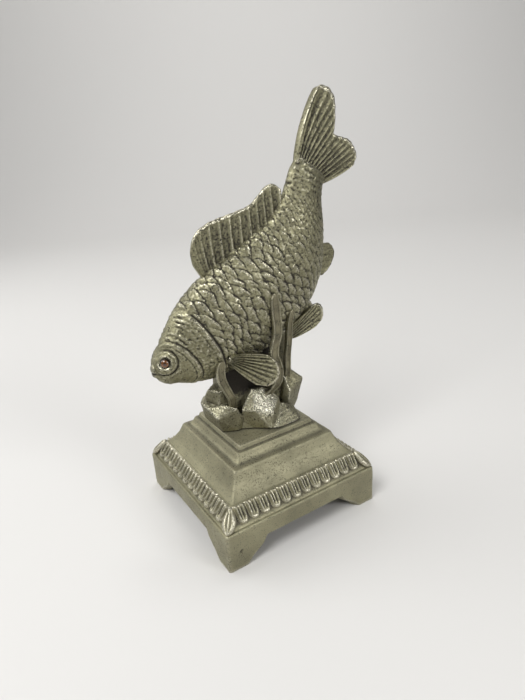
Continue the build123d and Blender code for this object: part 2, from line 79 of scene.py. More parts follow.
def bump(x, middle, width):
    """A soft ridge of height 1."""
    return np.exp(-(((x - middle) / width) ** 2))


def edit(piece):
    """Goes into edit mode on one piece with all of it selected."""
    bpy.ops.object.select_all(action="DESELECT")
    bpy.context.view_layer.objects.active = piece
    piece.select_set(True)
    bpy.ops.object.mode_set(mode="EDIT")
    bpy.ops.mesh.select_all(action="SELECT")


def close_up(piece):
    """Merges seams and poles, points all faces outwards and shades the piece smooth."""
    edit(piece)
    bpy.ops.mesh.remove_doubles(threshold=0.002 * mm)
    bpy.ops.mesh.dissolve_degenerate(threshold=0.001 * mm)
    bpy.ops.mesh.normals_make_consistent(inside=False)
    bpy.ops.object.mode_set(mode="OBJECT")
    bpy.ops.object.shade_smooth()


def shaped_grid(name, points, patina_left=None):
    """A grid primitive with its corners moved to rows of points, and the patina left on them."""
    rows, columns = points.shape[:2]
    bpy.ops.object.select_all(action="DESELECT")
    bpy.ops.mesh.primitive_grid_add(
        x_subdivisions=columns - 1, y_subdivisions=rows - 1, size=1, calc_uvs=False
    )
    piece = bpy.context.object
    piece.name = piece.data.name = name
    piece.data.vertices.foreach_set("co", in_frame(points).ravel())
    if patina_left is not None:
        patina_and_shade = piece.data.attributes.new("patina_and_shade", "FLOAT", "POINT")
        patina_and_shade.data.foreach_set("value", patina_left.ravel().astype(np.float32))
    piece.data.update()
    close_up(piece)
    return piece


def join(name, pieces):
    """Joins pieces into one object."""
    bpy.ops.object.select_all(action="DESELECT")
    for piece in pieces:
        piece.select_set(True)
    bpy.context.view_layer.objects.active = pieces[0]
    if len(pieces) > 1:
        bpy.ops.object.join()
    pieces[0].name = pieces[0].data.name = name
    return pieces[0]


def corners_of(piece):
    """A piece's corners, one row each."""
    places = np.zeros(len(piece.data.vertices) * 3)
    piece.data.vertices.foreach_get("co", places)
    return places.reshape(-1, 3)


def facing_of(piece):
    """The way a piece's surface faces at each corner."""
    normals = np.zeros(len(piece.data.vertices) * 3)
    piece.data.vertex_normals.foreach_get("vector", normals)
    return normals.reshape(-1, 3)


def local_places(piece):
    """A piece's corners in millimetres from the plinth's middle."""
    return (corners_of(piece) - np.array(plinth_middle)) / mm


def mark_relief(piece, rounds, reach, flat_faces=None):
    """Notes for the finish how far each place stands out of the smoothed surface, or lies in it.

    A flat piece gives the way its faces look, so that its thin edges aren't taken for ridges.
    """
    mesh = piece.data
    places, normals = corners_of(piece), facing_of(piece)
    count = len(places)
    ends = np.zeros(len(mesh.edges) * 2, int)
    mesh.edges.foreach_get("vertices", ends)
    first, second = ends.reshape(-1, 2).T
    shares = np.maximum(np.bincount(ends, minlength=count), 1)
    smooth = places.copy()
    for _ in range(rounds):
        for axis in range(3):
            total = np.bincount(first, smooth[second, axis], count)
            total += np.bincount(second, smooth[first, axis], count)
            smooth[:, axis] = (smooth[:, axis] + total / shares) / 2
    height = ((places - smooth) * normals).sum(1) / (reach * mm)
    if flat_faces is not None:
        height = height * (0.25 + 0.75 * (normals @ flat_faces) ** 2)
    for name, values in (("wear_and_highlight", height), ("patina_and_shade", -height)):
        if name not in mesh.attributes:
            mesh.attributes.new(name, "FLOAT", "POINT")
        add_mark(piece, name, np.clip(values, 0, 1))


def add_mark(piece, name, extra):
    """Adds to what a piece's mark of wear and painted highlights, or of patina and painted shade, already
    says.
    """
    mark = piece.data.attributes[name]
    values = np.zeros(len(piece.data.vertices), np.float32)
    mark.data.foreach_get("value", values)
    mark.data.foreach_set("value", np.clip(values + extra, 0, 1).astype(np.float32))


def finish_piece(piece, node, material):
    """Gives a piece its finish, and puts it in the place of its CAD node."""
    piece.data.materials.clear()
    piece.data.materials.append(material)
    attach(piece, "root")
    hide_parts(node)


# Finishes
def new_group(name, inputs, outputs):
    """A shader node group with named sockets, and its end nodes."""
    group = bpy.data.node_groups.new(name, "ShaderNodeTree")
    for kind, sockets in (("INPUT", inputs), ("OUTPUT", outputs)):
        for socket, socket_type in sockets:
            group.interface.new_socket(name=socket, in_out=kind, socket_type=socket_type)
    return group, group.nodes.new("NodeGroupInput"), group.nodes.new("NodeGroupOutput")


def new_material(name):
    """A material, its node tree and its shader."""
    material = bpy.data.materials.new(name)
    material.use_nodes = True
    return material, material.node_tree, material.node_tree.nodes["Principled BSDF"]


def feed(tree, socket, value):
    """Gives a socket another node's output, or a value of its own."""
    if isinstance(value, bpy.types.NodeSocket):
        tree.links.new(value, socket)
    else:
        socket.default_value = value


def make_node(tree, kind, inputs, **settings):
    """A shader node with its settings, and its inputs fed by name or number."""
    node = tree.nodes.new("ShaderNode" + kind)
    for name, value in settings.items():
        setattr(node, name, value)
    for socket, value in inputs.items():
        feed(tree, node.inputs[socket], value)
    return node


def place_node(tree):
    """The piece's own coordinates."""
    return make_node(tree, "TexCoord", {}).outputs["Object"]


def mark_node(tree, name):
    """What one of the piece's marks says."""
    return make_node(tree, "Attribute", {}, attribute_name=name).outputs["Fac"]


def noise_node(tree, place, scale, detail):
    """A noise pattern on the piece's own coordinates."""
    return make_node(tree, "TexNoise", {"Vector": place, "Scale": scale, "Detail": detail}).outputs["Fac"]


def range_node(tree, value, low, high, to_low=0.0, to_high=1.0):
    """Spreads a value from one range to another, clamped."""
    inputs = dict(enumerate((value, low, high, to_low, to_high)))
    return make_node(tree, "MapRange", inputs).outputs["Result"]


def math_node(tree, operation, first, second):
    """One sum of two values, each a socket or a number, clamped to 0 to 1."""
    inputs = {0: first, 1: second}
    return make_node(tree, "Math", inputs, operation=operation, use_clamp=True).outputs["Value"]


def mix_node(tree, share, first, second, blend="MIX"):
    """Mixes two colours by a share."""
    inputs = {0: share, 6: first, 7: second}
    return make_node(tree, "Mix", inputs, data_type="RGBA", blend_type=blend).outputs[2]


def add_bump(tree, shader, height, strength, distance):
    """Fine relief in the finish itself, up to a distance in millimetres."""
    inputs = {"Strength": strength, "Distance": distance * mm, "Height": height}
    feed(tree, shader.inputs["Normal"], make_node(tree, "Bump", inputs).outputs["Normal"])


def make_patina_and_painted_light():
    """The cast alloy's surface: dark patina in hollows and pits, bare metal where worn, and painted shade
    and painted highlights where the pieces' marks carry them.
    """
    colour, value = "NodeSocketColor", "NodeSocketFloat"
    group, start, end = new_group(
        "cast_patina_and_painted_light",
        [("Bright", colour), ("Mid", colour), ("Dark", colour), ("Wear_and_Highlight", value), ("Patina_and_Shade", value),
         ("Speckle", value), ("Grain Scale", value), ("Satin", value), ("Bareness", value)],
        [("Color", colour), ("Roughness", value), ("Metallic", value), ("Height", value)],
    )
    given = start.outputs
    place = place_node(group)
    clouds = noise_node(group, place, 85, 3)
    blotches = noise_node(group, place, 420, 3)
    grain = noise_node(group, place, given["Grain Scale"], 3)
    fine = noise_node(group, place, 5200, 2)

    # Dirt lies in hollows and in pits, and the pits crowd in patches; painted shade comes in with the
    # hollows mark
    pits = range_node(group, grain, 0.47, 0.35)
    patches = range_node(group, blotches, 0.42, 0.66, 0.25, 1.0)
    specks = math_node(group, "MULTIPLY", pits, patches)
    specks = math_node(group, "MULTIPLY", specks, given["Speckle"])
    hollow = range_node(group, given["Patina_and_Shade"], 0.08, 0.85)
    dirt_and_shade = math_node(group, "ADD", hollow, specks)
    # Bare metal where worn, and painted highlights where a piece's mark carries them
    rubbed_and_highlight = range_node(group, given["Wear_and_Highlight"], 0.15, 0.9)
    rubbed_and_highlight = math_node(group, "MULTIPLY", rubbed_and_highlight, range_node(group, grain, 0.3, 0.55))

    tone = mix_node(group, rubbed_and_highlight, given["Mid"], given["Bright"])
    tone = mix_node(group, dirt_and_shade, tone, given["Dark"])
    shade = range_node(group, clouds, 0.3, 0.7, 0.78, 1.12)
    grey = make_node(group, "CombineColor", {0: shade, 1: shade, 2: shade})
    tone = mix_node(group, 1.0, tone, grey.outputs["Color"], "MULTIPLY")
    rough = math_node(group, "ADD", given["Satin"], range_node(group, dirt_and_shade, 0, 1, 0, 0.26))
    rough = math_node(group, "SUBTRACT", rough, range_node(group, rubbed_and_highlight, 0, 1, 0, 0.15))
    bare = math_node(group, "ADD", given["Bareness"], range_node(group, rubbed_and_highlight, 0, 1, 0, 0.3))
    bare = math_node(group, "SUBTRACT", bare, range_node(group, dirt_and_shade, 0, 1, 0, 0.4))
    skin = math_node(group, "MULTIPLY", fine, 0.35)
    skin = math_node(group, "ADD", skin, math_node(group, "MULTIPLY", blotches, 0.3))
    skin = math_node(group, "SUBTRACT", skin, math_node(group, "MULTIPLY", pits, 0.3))
    for socket, made in (("Color", tone), ("Roughness", rough), ("Metallic", bare), ("Height", skin)):
        feed(group, end.inputs[socket], made)
    return group


# The cast finish lays patina, painted shade and painted highlights from each piece's marks; its dark tone
# serves both
patina = make_patina_and_painted_light()
mid_metal, dark_patina_and_shade = (0.255, 0.242, 0.148), (0.030, 0.025, 0.018)


def cast_finish(name, bright, mid, speckle, grain_scale, bump_distance, satin, bareness):
    """A patinated casting, with its own tones and grain."""
    material, tree, shader = new_material(name)
    given = {"Bright": (*bright, 1), "Mid": (*mid, 1), "Dark": (*dark_patina_and_shade, 1), "Speckle": speckle,
             "Grain Scale": grain_scale, "Satin": satin, "Bareness": bareness,
             "Wear_and_Highlight": mark_node(tree, "wear_and_highlight"), "Patina_and_Shade": mark_node(tree, "patina_and_shade")}
    surface = make_node(tree, "Group", given, node_tree=patina)
    for made, socket in (("Color", "Base Color"), ("Roughness", "Roughness"), ("Metallic", "Metallic")):
        feed(tree, shader.inputs[socket], surface.outputs[made])
    add_bump(tree, shader, surface.outputs["Height"], 0.7, bump_distance)
    return material


body_metal = cast_finish("body_metal", bright=(0.52, 0.50, 0.38), mid=mid_metal, speckle=1.1,
                         grain_scale=1300, bump_distance=0.36, satin=0.36, bareness=0.85)
fin_metal = cast_finish("fin_metal", bright=(0.64, 0.61, 0.48), mid=mid_metal, speckle=1.5,
                        grain_scale=1400, bump_distance=0.36, satin=0.36, bareness=0.85)
weed_metal = cast_finish("weed_metal", bright=(0.40, 0.38, 0.28), mid=(0.235, 0.215, 0.138), speckle=0.8,
                         grain_scale=1500, bump_distance=0.28, satin=0.42, bareness=0.8)
rock_metal = cast_finish("rock_metal", bright=(0.62, 0.60, 0.49), mid=(0.265, 0.250, 0.160), speckle=1.2,
                         grain_scale=1500, bump_distance=0.46, satin=0.31, bareness=0.92)
plinth_metal = cast_finish("plinth_metal", bright=(0.58, 0.55, 0.43), mid=(0.285, 0.268, 0.170),
                           speckle=0.75, grain_scale=1700, bump_distance=0.24, satin=0.45, bareness=0.6)


# Fish body: sections from snout to tail, each with its back, its belly and its half thickness
fish_run, fish_rise, fish_half_thickness = 91.8, 88.0, 10.8
snout_x, belly_z = -45.3, 69.6
section_shares = np.array([
    (0.000, 0.150, 0.003, 0.081, 0.21), (0.018, 0.184, 0.034, 0.048, 0.45),
    (0.050, 0.244, 0.108, 0.026, 0.63), (0.090, 0.310, 0.191, 0.005, 0.78),
    (0.148, 0.389, 0.291, 0.000, 0.89), (0.218, 0.457, 0.400, 0.009, 0.96),
    (0.319, 0.527, 0.570, 0.055, 1.00), (0.439, 0.594, 0.744, 0.152, 0.96),
    (0.553, 0.652, 0.897, 0.300, 0.87), (0.631, 0.702, 0.958, 0.448, 0.78),
    (0.686, 0.750, 0.972, 0.593, 0.68), (0.745, 0.818, 0.970, 0.699, 0.57),
    (0.772, 0.875, 0.969, 0.789, 0.49), (0.802, 0.948, 0.984, 0.852, 0.40),
    (0.841, 1.000, 1.000, 0.877, 0.28),
])
section_sizes = np.array([fish_run, fish_rise, fish_run, fish_rise, fish_half_thickness])
sections = section_shares * section_sizes + np.array([snout_x, belly_z, snout_x, belly_z, 0])
section_middles = (sections[:, 0:2] + sections[:, 2:4]) / 2
section_steps = np.linalg.norm(np.diff(section_middles, axis=0), axis=1)
midline_length = section_steps.sum()
section_places = np.concatenate([[0], np.cumsum(section_steps)]) / midline_length

eye_place = np.array([-41.8, -5.1, 83.9])
eye_radius = 1.9
# Wrinkles over the eye: distance from it, then the bearings where each starts and stops
brow_ridges = [(7.6, 60, 95), (10.2, 34, 92), (12.4, 30, 88),
               (16.6, 46, 74), (18.6, 50, 80), (20.6, 56, 82)]
# Rear edges of the gill cover and the cheek plate: angle from the back, then share of the body's length
gill_edge = np.array([(0, 0.166), (38, 0.194), (78, 0.214), (104, 0.221), (130, 0.212), (155, 0.190),
                      (180, 0.168)])
cheek_edge = np.array([(0, 0.07), (30, 0.085), (54, 0.104), (80, 0.124), (105, 0.135), (132, 0.131),
                       (155, 0.112), (180, 0.09)])


def body_points(along, around):
    """The smooth body's surface; around is 0 on the back, a quarter turn on the left flank."""
    found = through(section_places, sections, along)
    back, belly, half = found[:, None, 0:2], found[:, None, 2:4], found[:, None, 4]
    around = around[None, :, None]
    flat = (back + belly) / 2 + (back - belly) / 2 * np.cos(around)
    side = -half * np.sin(around[..., 0])
    return np.stack([flat[..., 0], side, flat[..., 1]], axis=-1)


def outward(points):
    """Unit normals of rows of rings."""
    along = np.gradient(points, axis=0)
    ring = np.concatenate([points[:, -2:-1], points, points[:, 1:2]], axis=1)
    around = ring[:, 2:] - ring[:, :-2]
    normal = np.cross(along, around)
    normal /= np.maximum(np.linalg.norm(normal, axis=-1, keepdims=True), 1e-9)
    middle = points[:, :-1].mean(axis=1, keepdims=True)
    inwards = ((points - middle) * normal).sum(-1).mean() < 0
    return -normal if inwards else normal


def chance(row, column):
    """A number from 0 to 1 that is always the same for one scale."""
    mixed = np.sin(row * 12.9898 + column * 78.233) * 43758.5453
    return mixed - np.floor(mixed)


# Scales: how many go round, a row's length to a scale's width, and how far each lifts and leans
scales_around = 10
scale_row_share = 0.215
scale_lift = 0.30
scale_lean = 0.07


def scale_places(smooth, along):
    """Each place counted in rows of scales from the snout, and in scales around from the back.

    Rows stand square to the line from head to tail.
    """
    ring_steps = np.linalg.norm(np.diff(smooth, axis=1), axis=-1)
    ring_length = ring_steps.sum(axis=1)
    row_length = scale_row_share * ring_length / scales_around
    rows_along = np.concatenate([[0], np.cumsum(np.diff(along) * midline_length / row_length[1:])])
    to_tail = section_middles[-1] - section_middles[0]
    to_tail = np.array([to_tail[0], 0, to_tail[1]]) / np.linalg.norm(to_tail)
    along_middle = through(section_places, section_middles, along) @ to_tail[[0, 2]]
    rows_along = np.interp(smooth @ to_tail, along_middle, rows_along)
    run_around = np.pad(np.cumsum(ring_steps, axis=1), ((0, 0), (1, 0)))
    return rows_along, run_around * scales_around / ring_length[:, None]


def scale_relief(rows_along, place_around, belly_way):
    """Overlapping scales whose rounded rear edges stand proud, and the creases behind those edges.

    Each edge is longest and darkest on the side towards the belly, which belly_way gives as 1 or -1.
    """
    first_row = np.floor(rows_along)
    height = np.zeros_like(rows_along)
    crease = np.zeros_like(rows_along)
    settled = np.zeros(rows_along.shape, bool)
    for step in (-1, 0, 1):
        row = first_row + step
        shift = 0.5 * (row % 2)
        column = np.round(place_around - shift)
        across = place_around - shift - column
        luck = chance(row, column % scales_around)
        reach = rows_along - row
        low = across * belly_way + scale_lean
        from_tip = np.where(low > 0, low / (0.5 + scale_lean), -low / (0.5 - scale_lean))
        edge = 1.12 + 0.30 * (luck - 0.5) - 1.06 * from_tip**2.3
        towards_back = 1 - ramp(low, -0.15, 0.12)
        shape = scale_lift * (0.5 + luck) * reach - 0.7 * (across + 0.2 * (luck - 0.5)) ** 2
        rounding = 0.06 * (1 - ramp(edge - reach, 0.0, 0.2))
        shape -= rounding + 0.10 * towards_back * (1 - ramp(edge - reach, 0.0, 0.6))
        covers = (reach <= edge) | (step == 1)
        behind_edge = np.where(settled | covers, 0, bump(reach - edge, 0, 0.22))
        behind_edge = behind_edge * (1 - 0.5 * towards_back) * (1 - 0.8 * ramp(from_tip, 0.6, 0.95))
        crease = np.maximum(crease, behind_edge * (0.5 + 0.7 * luck))
        height = np.where(~settled & covers, shape, height)
        settled |= covers
    return height - 0.16 * crease, crease


def organic(points, size):
    """Smooth random values over a surface, with features of about that size."""
    flat = points.reshape(-1, 3) / size
    return np.array([noise.noise(Vector(p)) for p in flat]).reshape(points.shape[:-1])


def head_relief(s, angle, smooth, gill, wander, ripple):
    """Heights of the head's forms, and the patina left in their creases."""
    # Gill cover with a double rear edge, and the cheek plate in front of it
    cover = (1 - ramp(s, gill - 0.001, gill + 0.004)) * ramp(s, gill - 0.075, gill)
    relief = 0.60 * cover * (0.3 + 0.7 * ramp(angle, 22, 55))
    relief -= 0.18 * bump(s, gill - 0.020, 0.0035) * ramp(angle, 30, 55)
    gill_crease = bump(s, gill + 0.005, 0.004) * ramp(angle, 28, 60)
    relief -= 0.32 * gill_crease
    patina_left = 0.3 * gill_crease
    cheek = through(cheek_edge[:, 0], cheek_edge[:, 1], angle)
    flank = ramp(angle, 38, 62)
    plate = (1 - ramp(s, cheek - 0.001, cheek + 0.004)) * ramp(s, cheek - 0.05, cheek) * flank
    creases = bump(s, cheek + 0.005, 0.004) + bump(s, cheek - 0.018, 0.003)
    relief += 0.5 * plate - 0.32 * creases * flank
    pebbled = ramp(s, cheek, cheek + 0.01) * (1 - ramp(s, gill - 0.012, gill - 0.002))
    pebbled *= ramp(angle, 25, 50)
    relief += 0.26 * pebbled * organic(smooth * np.array([1, 1, 1.7]), 1.5)

    # Eye sockets with brow wrinkles that run round them
    mirrored = smooth * np.array([1, 0, 1]) - np.abs(smooth) * np.array([0, 1, 0])
    from_eye = mirrored - eye_place
    distance = np.linalg.norm(from_eye, axis=-1)
    bearing = np.degrees(np.arctan2(from_eye[..., 2], from_eye[..., 0]))
    behind = 1 - ramp(np.abs(bearing + 20), 75, 125)
    relief += 0.50 * bump(distance, 2.9, 0.6) + 0.35 * bump(distance, 4.1, 1.0)
    relief -= 0.60 * behind * bump(distance, 5.4, 0.5) + 2.0 * (1 - ramp(distance, 1.5, 2.2))
    broken = ramp(angle, 8, 26) * ramp(ripple, -0.5, 0.1)
    for radius, start, stop in brow_ridges:
        stretch = ramp(bearing, start - 12, start + 12) * (1 - ramp(bearing, stop - 12, stop + 12)) * broken
        off_ridge = distance + 1.6 * wander - radius
        furrow = bump(off_ridge, -1.1, 0.45)
        relief += stretch * (0.22 * bump(off_ridge, 0, 0.6) - 0.20 * furrow)
        patina_left += 0.25 * stretch * furrow

    # Lips and the corners of the mouth
    mouth_corner = bump(angle, 103, 9) * (1 - ramp(s, 0.012, 0.026))
    relief -= 0.20 * mouth_corner
    patina_left += 0.5 * mouth_corner
    relief += 0.15 * bump(s, 0.012, 0.006) - 0.10 * bump(s, 0.028, 0.006) * ramp(angle, 60, 100)
    return relief, patina_left


def make_body():
    """The carp's body with its scales, head and eye sockets."""
    rows, columns = 372, 256
    # Rows stand closer together on the head
    fine = np.linspace(0, 1, 4001)
    crowd = np.cumsum(1 + 1.3 * np.exp(-((fine / 0.16) ** 2)))
    along = np.interp(np.linspace(crowd[0], crowd[-1], rows), crowd, fine)
    around = np.linspace(0, 2 * math.pi, columns + 1)
    smooth = body_points(along, around)
    s = along[:, None] * np.ones(columns + 1)
    angle = np.degrees(np.minimum(around, 2 * math.pi - around))[None, :] * np.ones((rows, 1))
    gill = through(gill_edge[:, 0], gill_edge[:, 1], angle)

    # Scales from the gill cover to the root of the tail, in rows that wander
    wander = organic(smooth, 14.0)
    ripple = organic(smooth + 70.0, 3.2)
    rows_along, place_around = scale_places(smooth, along)
    rows_along = rows_along + 1.2 * wander + 0.30 * ripple
    place_around = place_around + (0.35 * organic(smooth + 50.0, 12.0) + 0.05 * ripple)
    belly_way = np.where(around < math.pi, 1, -1)[None, :]
    scales, crease = scale_relief(rows_along, place_around, belly_way)
    scaled = ramp(s, gill + 0.006, gill + 0.016) * (1 - 0.55 * ramp(s, 0.55, 0.78))
    scaled *= 1 - ramp(s, 0.84, 0.93)
    relief = scaled * (scales + 0.10)
    patina_left = 0.95 * scaled * crease * (0.35 + 0.65 * ramp(organic(smooth + 30.0, 4.5), -0.35, 0.3))
    head, head_patina = head_relief(s, angle, smooth, gill, wander, ripple)
    relief += head
    patina_left += head_patina

    # Creases at the root of the tail, and the unevenness of the casting
    relief += 0.07 * ramp(s, 0.86, 0.93) * np.cos(s * 2 * math.pi / 0.022 + 2.5 * wander)
    relief += 0.14 * organic(smooth, 2.4) + 0.17 * organic(smooth, 1.1)
    patina_left += 0.30 * ramp(s, 0.78, 0.92) * ramp(organic(smooth + 90.0, 2.0), -0.5, 0.4)

    surface = smooth + outward(smooth) * relief[..., None]
    surface[:, -1] = surface[:, 0]
    slit = mouth_slit(around)
    front, rear = end_cap(surface[0], -1.2, slit)[::-1], end_cap(surface[-1], 0.5, 0 * slit)
    surface = np.concatenate([front, surface, rear])
    patina_left = np.concatenate([0.3 + 0.6 * slit[::-1], patina_left, 0.3 + 0 * slit])
    piece = shaped_grid("carp_body", surface, patina_left)
    mark_relief(piece, 24, 0.22)
    finish_piece(piece, "fish_body", body_metal)


cap_turns = np.radians([18, 36, 54, 72, 90])


def mouth_slit(around):
    """How near each place on the snout's cap is to the line of the mouth."""
    return bump(np.cos(around)[None, :] * np.cos(cap_turns)[:, None], -0.22, 0.16)


def end_cap(ring, bulge, slit):
    """Rings that close an end of the body with a low dome, cut in along a slit."""
    middle = ring[:-1].mean(axis=0)
    span = ring[len(ring) // 2] - ring[0]
    ahead = np.array([-span[2], 0, span[0]]) / np.linalg.norm(span)
    dome = bulge * np.sin(cap_turns)[:, None] * (1 - 0.35 * slit)
    return middle + (ring - middle) * np.cos(cap_turns)[:, None, None] + dome[..., None] * ahead


make_body()


# Eyes of glass
def eye_finish():
    """Amber glass with a dark middle and rim, in rings from the middle outwards."""
    material, tree, shader = new_material("eye_glass")
    wobble = range_node(tree, noise_node(tree, place_node(tree), 1800, 2), 0.3, 0.7, 0.0, 0.12)
    from_middle = math_node(tree, "ADD", mark_node(tree, "iris"), wobble)
    rings = make_node(tree, "ValToRGB", {"Fac": from_middle})
    stops = [(0.0, (0.022, 0.008, 0.003)), (0.30, (0.045, 0.015, 0.004)), (0.55, (0.13, 0.047, 0.009)),
             (0.76, (0.17, 0.064, 0.012)), (0.88, (0.05, 0.015, 0.004)), (1.0, (0.010, 0.004, 0.003))]
    ramp_stops = rings.color_ramp.elements
    while len(ramp_stops) < len(stops):
        ramp_stops.new(0.5)
    for stop, (place_along, colour) in zip(ramp_stops, stops):
        stop.position = place_along
        stop.color = (*colour, 1)
    feed(tree, shader.inputs["Base Color"], rings.outputs["Color"])
    for socket, value in (("Roughness", 0.12), ("Coat Weight", 1.0), ("Coat Roughness", 0.03)):
        shader.inputs[socket].default_value = value
    return material


eye_glass = eye_finish()


def make_eye(name, node, side):
    """A domed glass eye in its socket; side is -1 on the left flank and 1 on the right."""
    bpy.ops.object.select_all(action="DESELECT")
    bpy.ops.mesh.primitive_uv_sphere_add(
        segments=40, ring_count=24, radius=eye_radius * mm, calc_uvs=False
    )
    piece = bpy.context.object
    piece.name = piece.data.name = name
    edit(piece)
    bpy.ops.transform.resize(value=(1, 1, 0.66))
    bpy.ops.object.mode_set(mode="OBJECT")
    radius = np.linalg.norm(corners_of(piece)[:, :2], axis=1) / (eye_radius * mm)
    iris = piece.data.attributes.new("iris", "FLOAT", "POINT")
    iris.data.foreach_set("value", radius.astype(np.float32))
    axis = Vector((-0.481, 0.867 * side, 0.131)).normalized()
    turn = Vector((0, 0, 1)).rotation_difference(axis).to_matrix().to_4x4()
    middle = Vector((eye_place[0], -eye_place[1] * side, eye_place[2])) * mm + plinth_middle
    piece.data.transform(Matrix.Translation(middle) @ turn)
    bpy.ops.object.shade_smooth()
    finish_piece(piece, node, eye_glass)


make_eye("amber_eye_left", "left_eye", -1)
make_eye("amber_eye_right", "right_eye", 1)


# Fins
def fin_axes(angle, splay=0):
    """A fin's axes: along it, across it, and out of its face on the left flank.

    It is turned up by the angle and splayed outwards, both in degrees.
    """
    flat = math.cos(math.radians(angle))
    splay = math.radians(splay)
    along = np.array([flat * math.cos(splay), -flat * math.sin(splay), math.sin(math.radians(angle))])
    normal = np.array([0, -1, 0]) + along * along[1]
    normal /= np.linalg.norm(normal)
    return np.array([along, np.cross(normal, along), normal])


# rays is a count, ray_sharpness a power, web_patina and plain_front are shares,
# and the rest are half thicknesses in millimetres
FinSizes = namedtuple(
    "FinSizes", "rays web ray_height ray_sharpness rim first_rim last_rim web_patina plain_front",
    defaults=(0.0,),
)


def fin_points(origin, axes, outline, sizes, side):
    """A fin's two faces as one closed sheet, and the patina left on it.

    Rays run from the root line to the edge line by way of the bend line. Each line is a list of the
    share across the fin and the place there, along the fin's first two axes.
    """
    columns, rows = sizes.rays * 16, 46
    across = np.linspace(0, 1, columns + 1)[None, :]
    out = np.linspace(0, 1, rows + 1)[:, None]
    tables = [np.array(line, float) for line in outline]
    root, bend, edge = [through(t[:, 0], t[:, 1:], across[0])[None, :, :] for t in tables]
    share = out[..., None]
    flat = (1 - share) ** 2 * root + 2 * share * (1 - share) * bend + share**2 * edge
    wave = np.abs(np.cos(across * math.pi * sizes.rays))
    ray = wave**sizes.ray_sharpness
    raised = sizes.ray_height * (1 - sizes.plain_front * (1 - ramp(across, 0.08, 0.30)))
    flat += (flat - root) * (0.010 * (wave - 0.6) * ramp(out, 0.7, 1.0))[..., None]
    widths = np.linalg.norm(np.diff(flat, axis=1), axis=-1).sum(axis=1)[:, None]
    lengths = np.linalg.norm(np.diff(flat, axis=0), axis=-1).sum(axis=0)[None, :]
    inset = np.minimum(np.minimum(across, 1 - across) * widths, (1 - out) * lengths)

    # Half the thickness: web, rays that fade before the edge, rims, and edges rounded off
    rays_end = (1 - 0.6 * out) * (1 - 0.8 * ramp(out, 0.84, 0.97))
    thick = sizes.web + raised * ray * ramp(out, 0.0, 0.12) * rays_end
    thick = thick + sizes.rim * bump(inset, 0.9, 0.6) * ramp(out, 0.05, 0.2)
    thick = thick + sizes.first_rim * bump(across * widths, 0.6, 1.6)
    thick = thick + sizes.last_rim * bump((1 - across) * widths, 0.6, 1.3)
    thick = thick * np.sqrt(np.clip(1 - (1 - np.minimum(inset / 0.9, 1)) ** 2, 0, 1))
    thick[0] = 0

    both = np.concatenate([flat, flat[:, ::-1]], axis=1)
    lift = np.concatenate([thick, -thick[:, ::-1]], axis=1)
    points = origin + both[..., :1] * axes[0] + both[..., 1:] * axes[1] + lift[..., None] * axes[2]
    points = np.concatenate([points, points[:, :1]], axis=1)
    faces = np.sign(np.concatenate([lift, lift[:, :1]], axis=1))
    uneven = 0.12 * organic(points, 3.0) + 0.10 * organic(points, 1.0)
    points += axes[2] * (faces * uneven)[..., None]
    if side > 0:
        points = points * np.array([1, -1, 1])
    dark = sizes.web_patina * (raised / sizes.ray_height) * (1 - ray) * (1 - 0.55 * out)
    dark = dark * ramp(inset, 0.8, 2.0)
    dark = np.concatenate([dark, dark[:, ::-1], dark[:, :1]], axis=1)
    return points, dark * (0.35 + 0.65 * ramp(organic(points + 40.0, 0.9), -0.3, 0.3))


def make_fin(name, node, origin, axes, outline, sizes, side=-1):
    """One fin piece; side is 1 for a fin that is mirrored to the right flank."""
    piece = shaped_grid(name, *fin_points(np.array(origin), axes, outline, sizes, side))
    mark_relief(piece, 16, 0.26, axes[2] * np.array([1, -side, 1]))
    finish_piece(piece, node, fin_metal)


# Outlines: each fin's root, bend and edge lines, as fin_points takes them
dorsal_outline = [
    [(0, 0.4, -3.4), (0.11, 1.2, -3.6), (0.2, 2.6, -4.0), (0.3, 5.4, -4.8), (0.43, 11.8, -6.0),
     (0.56, 20.0, -6.8), (0.69, 28.2, -7.0), (0.8, 34.2, -6.6), (0.9, 39.8, -5.8), (1, 46.6, -4.6)],
    [(0, 0.2, 0.5), (0.11, 1.4, 4.0), (0.2, 4.4, 5.6), (0.3, 8.8, 5.2), (0.43, 16.2, 3.2),
     (0.56, 24.2, 1.4), (0.69, 32.0, 0.4), (0.8, 38.2, 1.0), (0.9, 43.4, 1.4), (1, 49.8, -0.8)],
    [(0, 0.4, 3.6), (0.05, 1.6, 6.8), (0.11, 3.6, 9.9), (0.2, 8.5, 13.3), (0.3, 14.1, 13.6),
     (0.43, 21.5, 11.6), (0.56, 28.8, 9.0), (0.69, 35.9, 7.2), (0.80, 42.2, 8.0), (0.9, 46.8, 8.4),
     (0.97, 50.6, 6.0), (1, 51.8, 2.6)],
]
make_fin("dorsal_fin_blade", "dorsal_fin", (-20.6, 0, 116.0), fin_axes(30.4), dorsal_outline, FinSizes(
    rays=12, web=0.50, ray_height=0.85, ray_sharpness=6.0, rim=0.1, first_rim=0.25, last_rim=0.2,
    web_patina=0.62, plain_front=0.75))
tail_outline = [
    [(0, -4.0, 7.6), (0.5, -4.0, 0.0), (1, -4.0, -7.6)],
    [(0, 11.3, 18.0), (0.2, 11.0, 10.2), (0.5, 9.0, -0.5), (0.8, 9.0, -9.0), (1, 7.5, -15.5)],
    [(0, 25.4, 19.3), (0.06, 28.0, 18.0), (0.12, 30.2, 15.0), (0.2, 30.4, 10.4), (0.31, 26.9, 5.6),
     (0.4, 22.6, 1.8), (0.47, 19.4, -0.4), (0.56, 21.2, -4.6), (0.68, 23.4, -9.0), (0.8, 23.0, -13.8),
     (0.92, 21.0, -17.2), (1, 16.8, -18.2)],
]
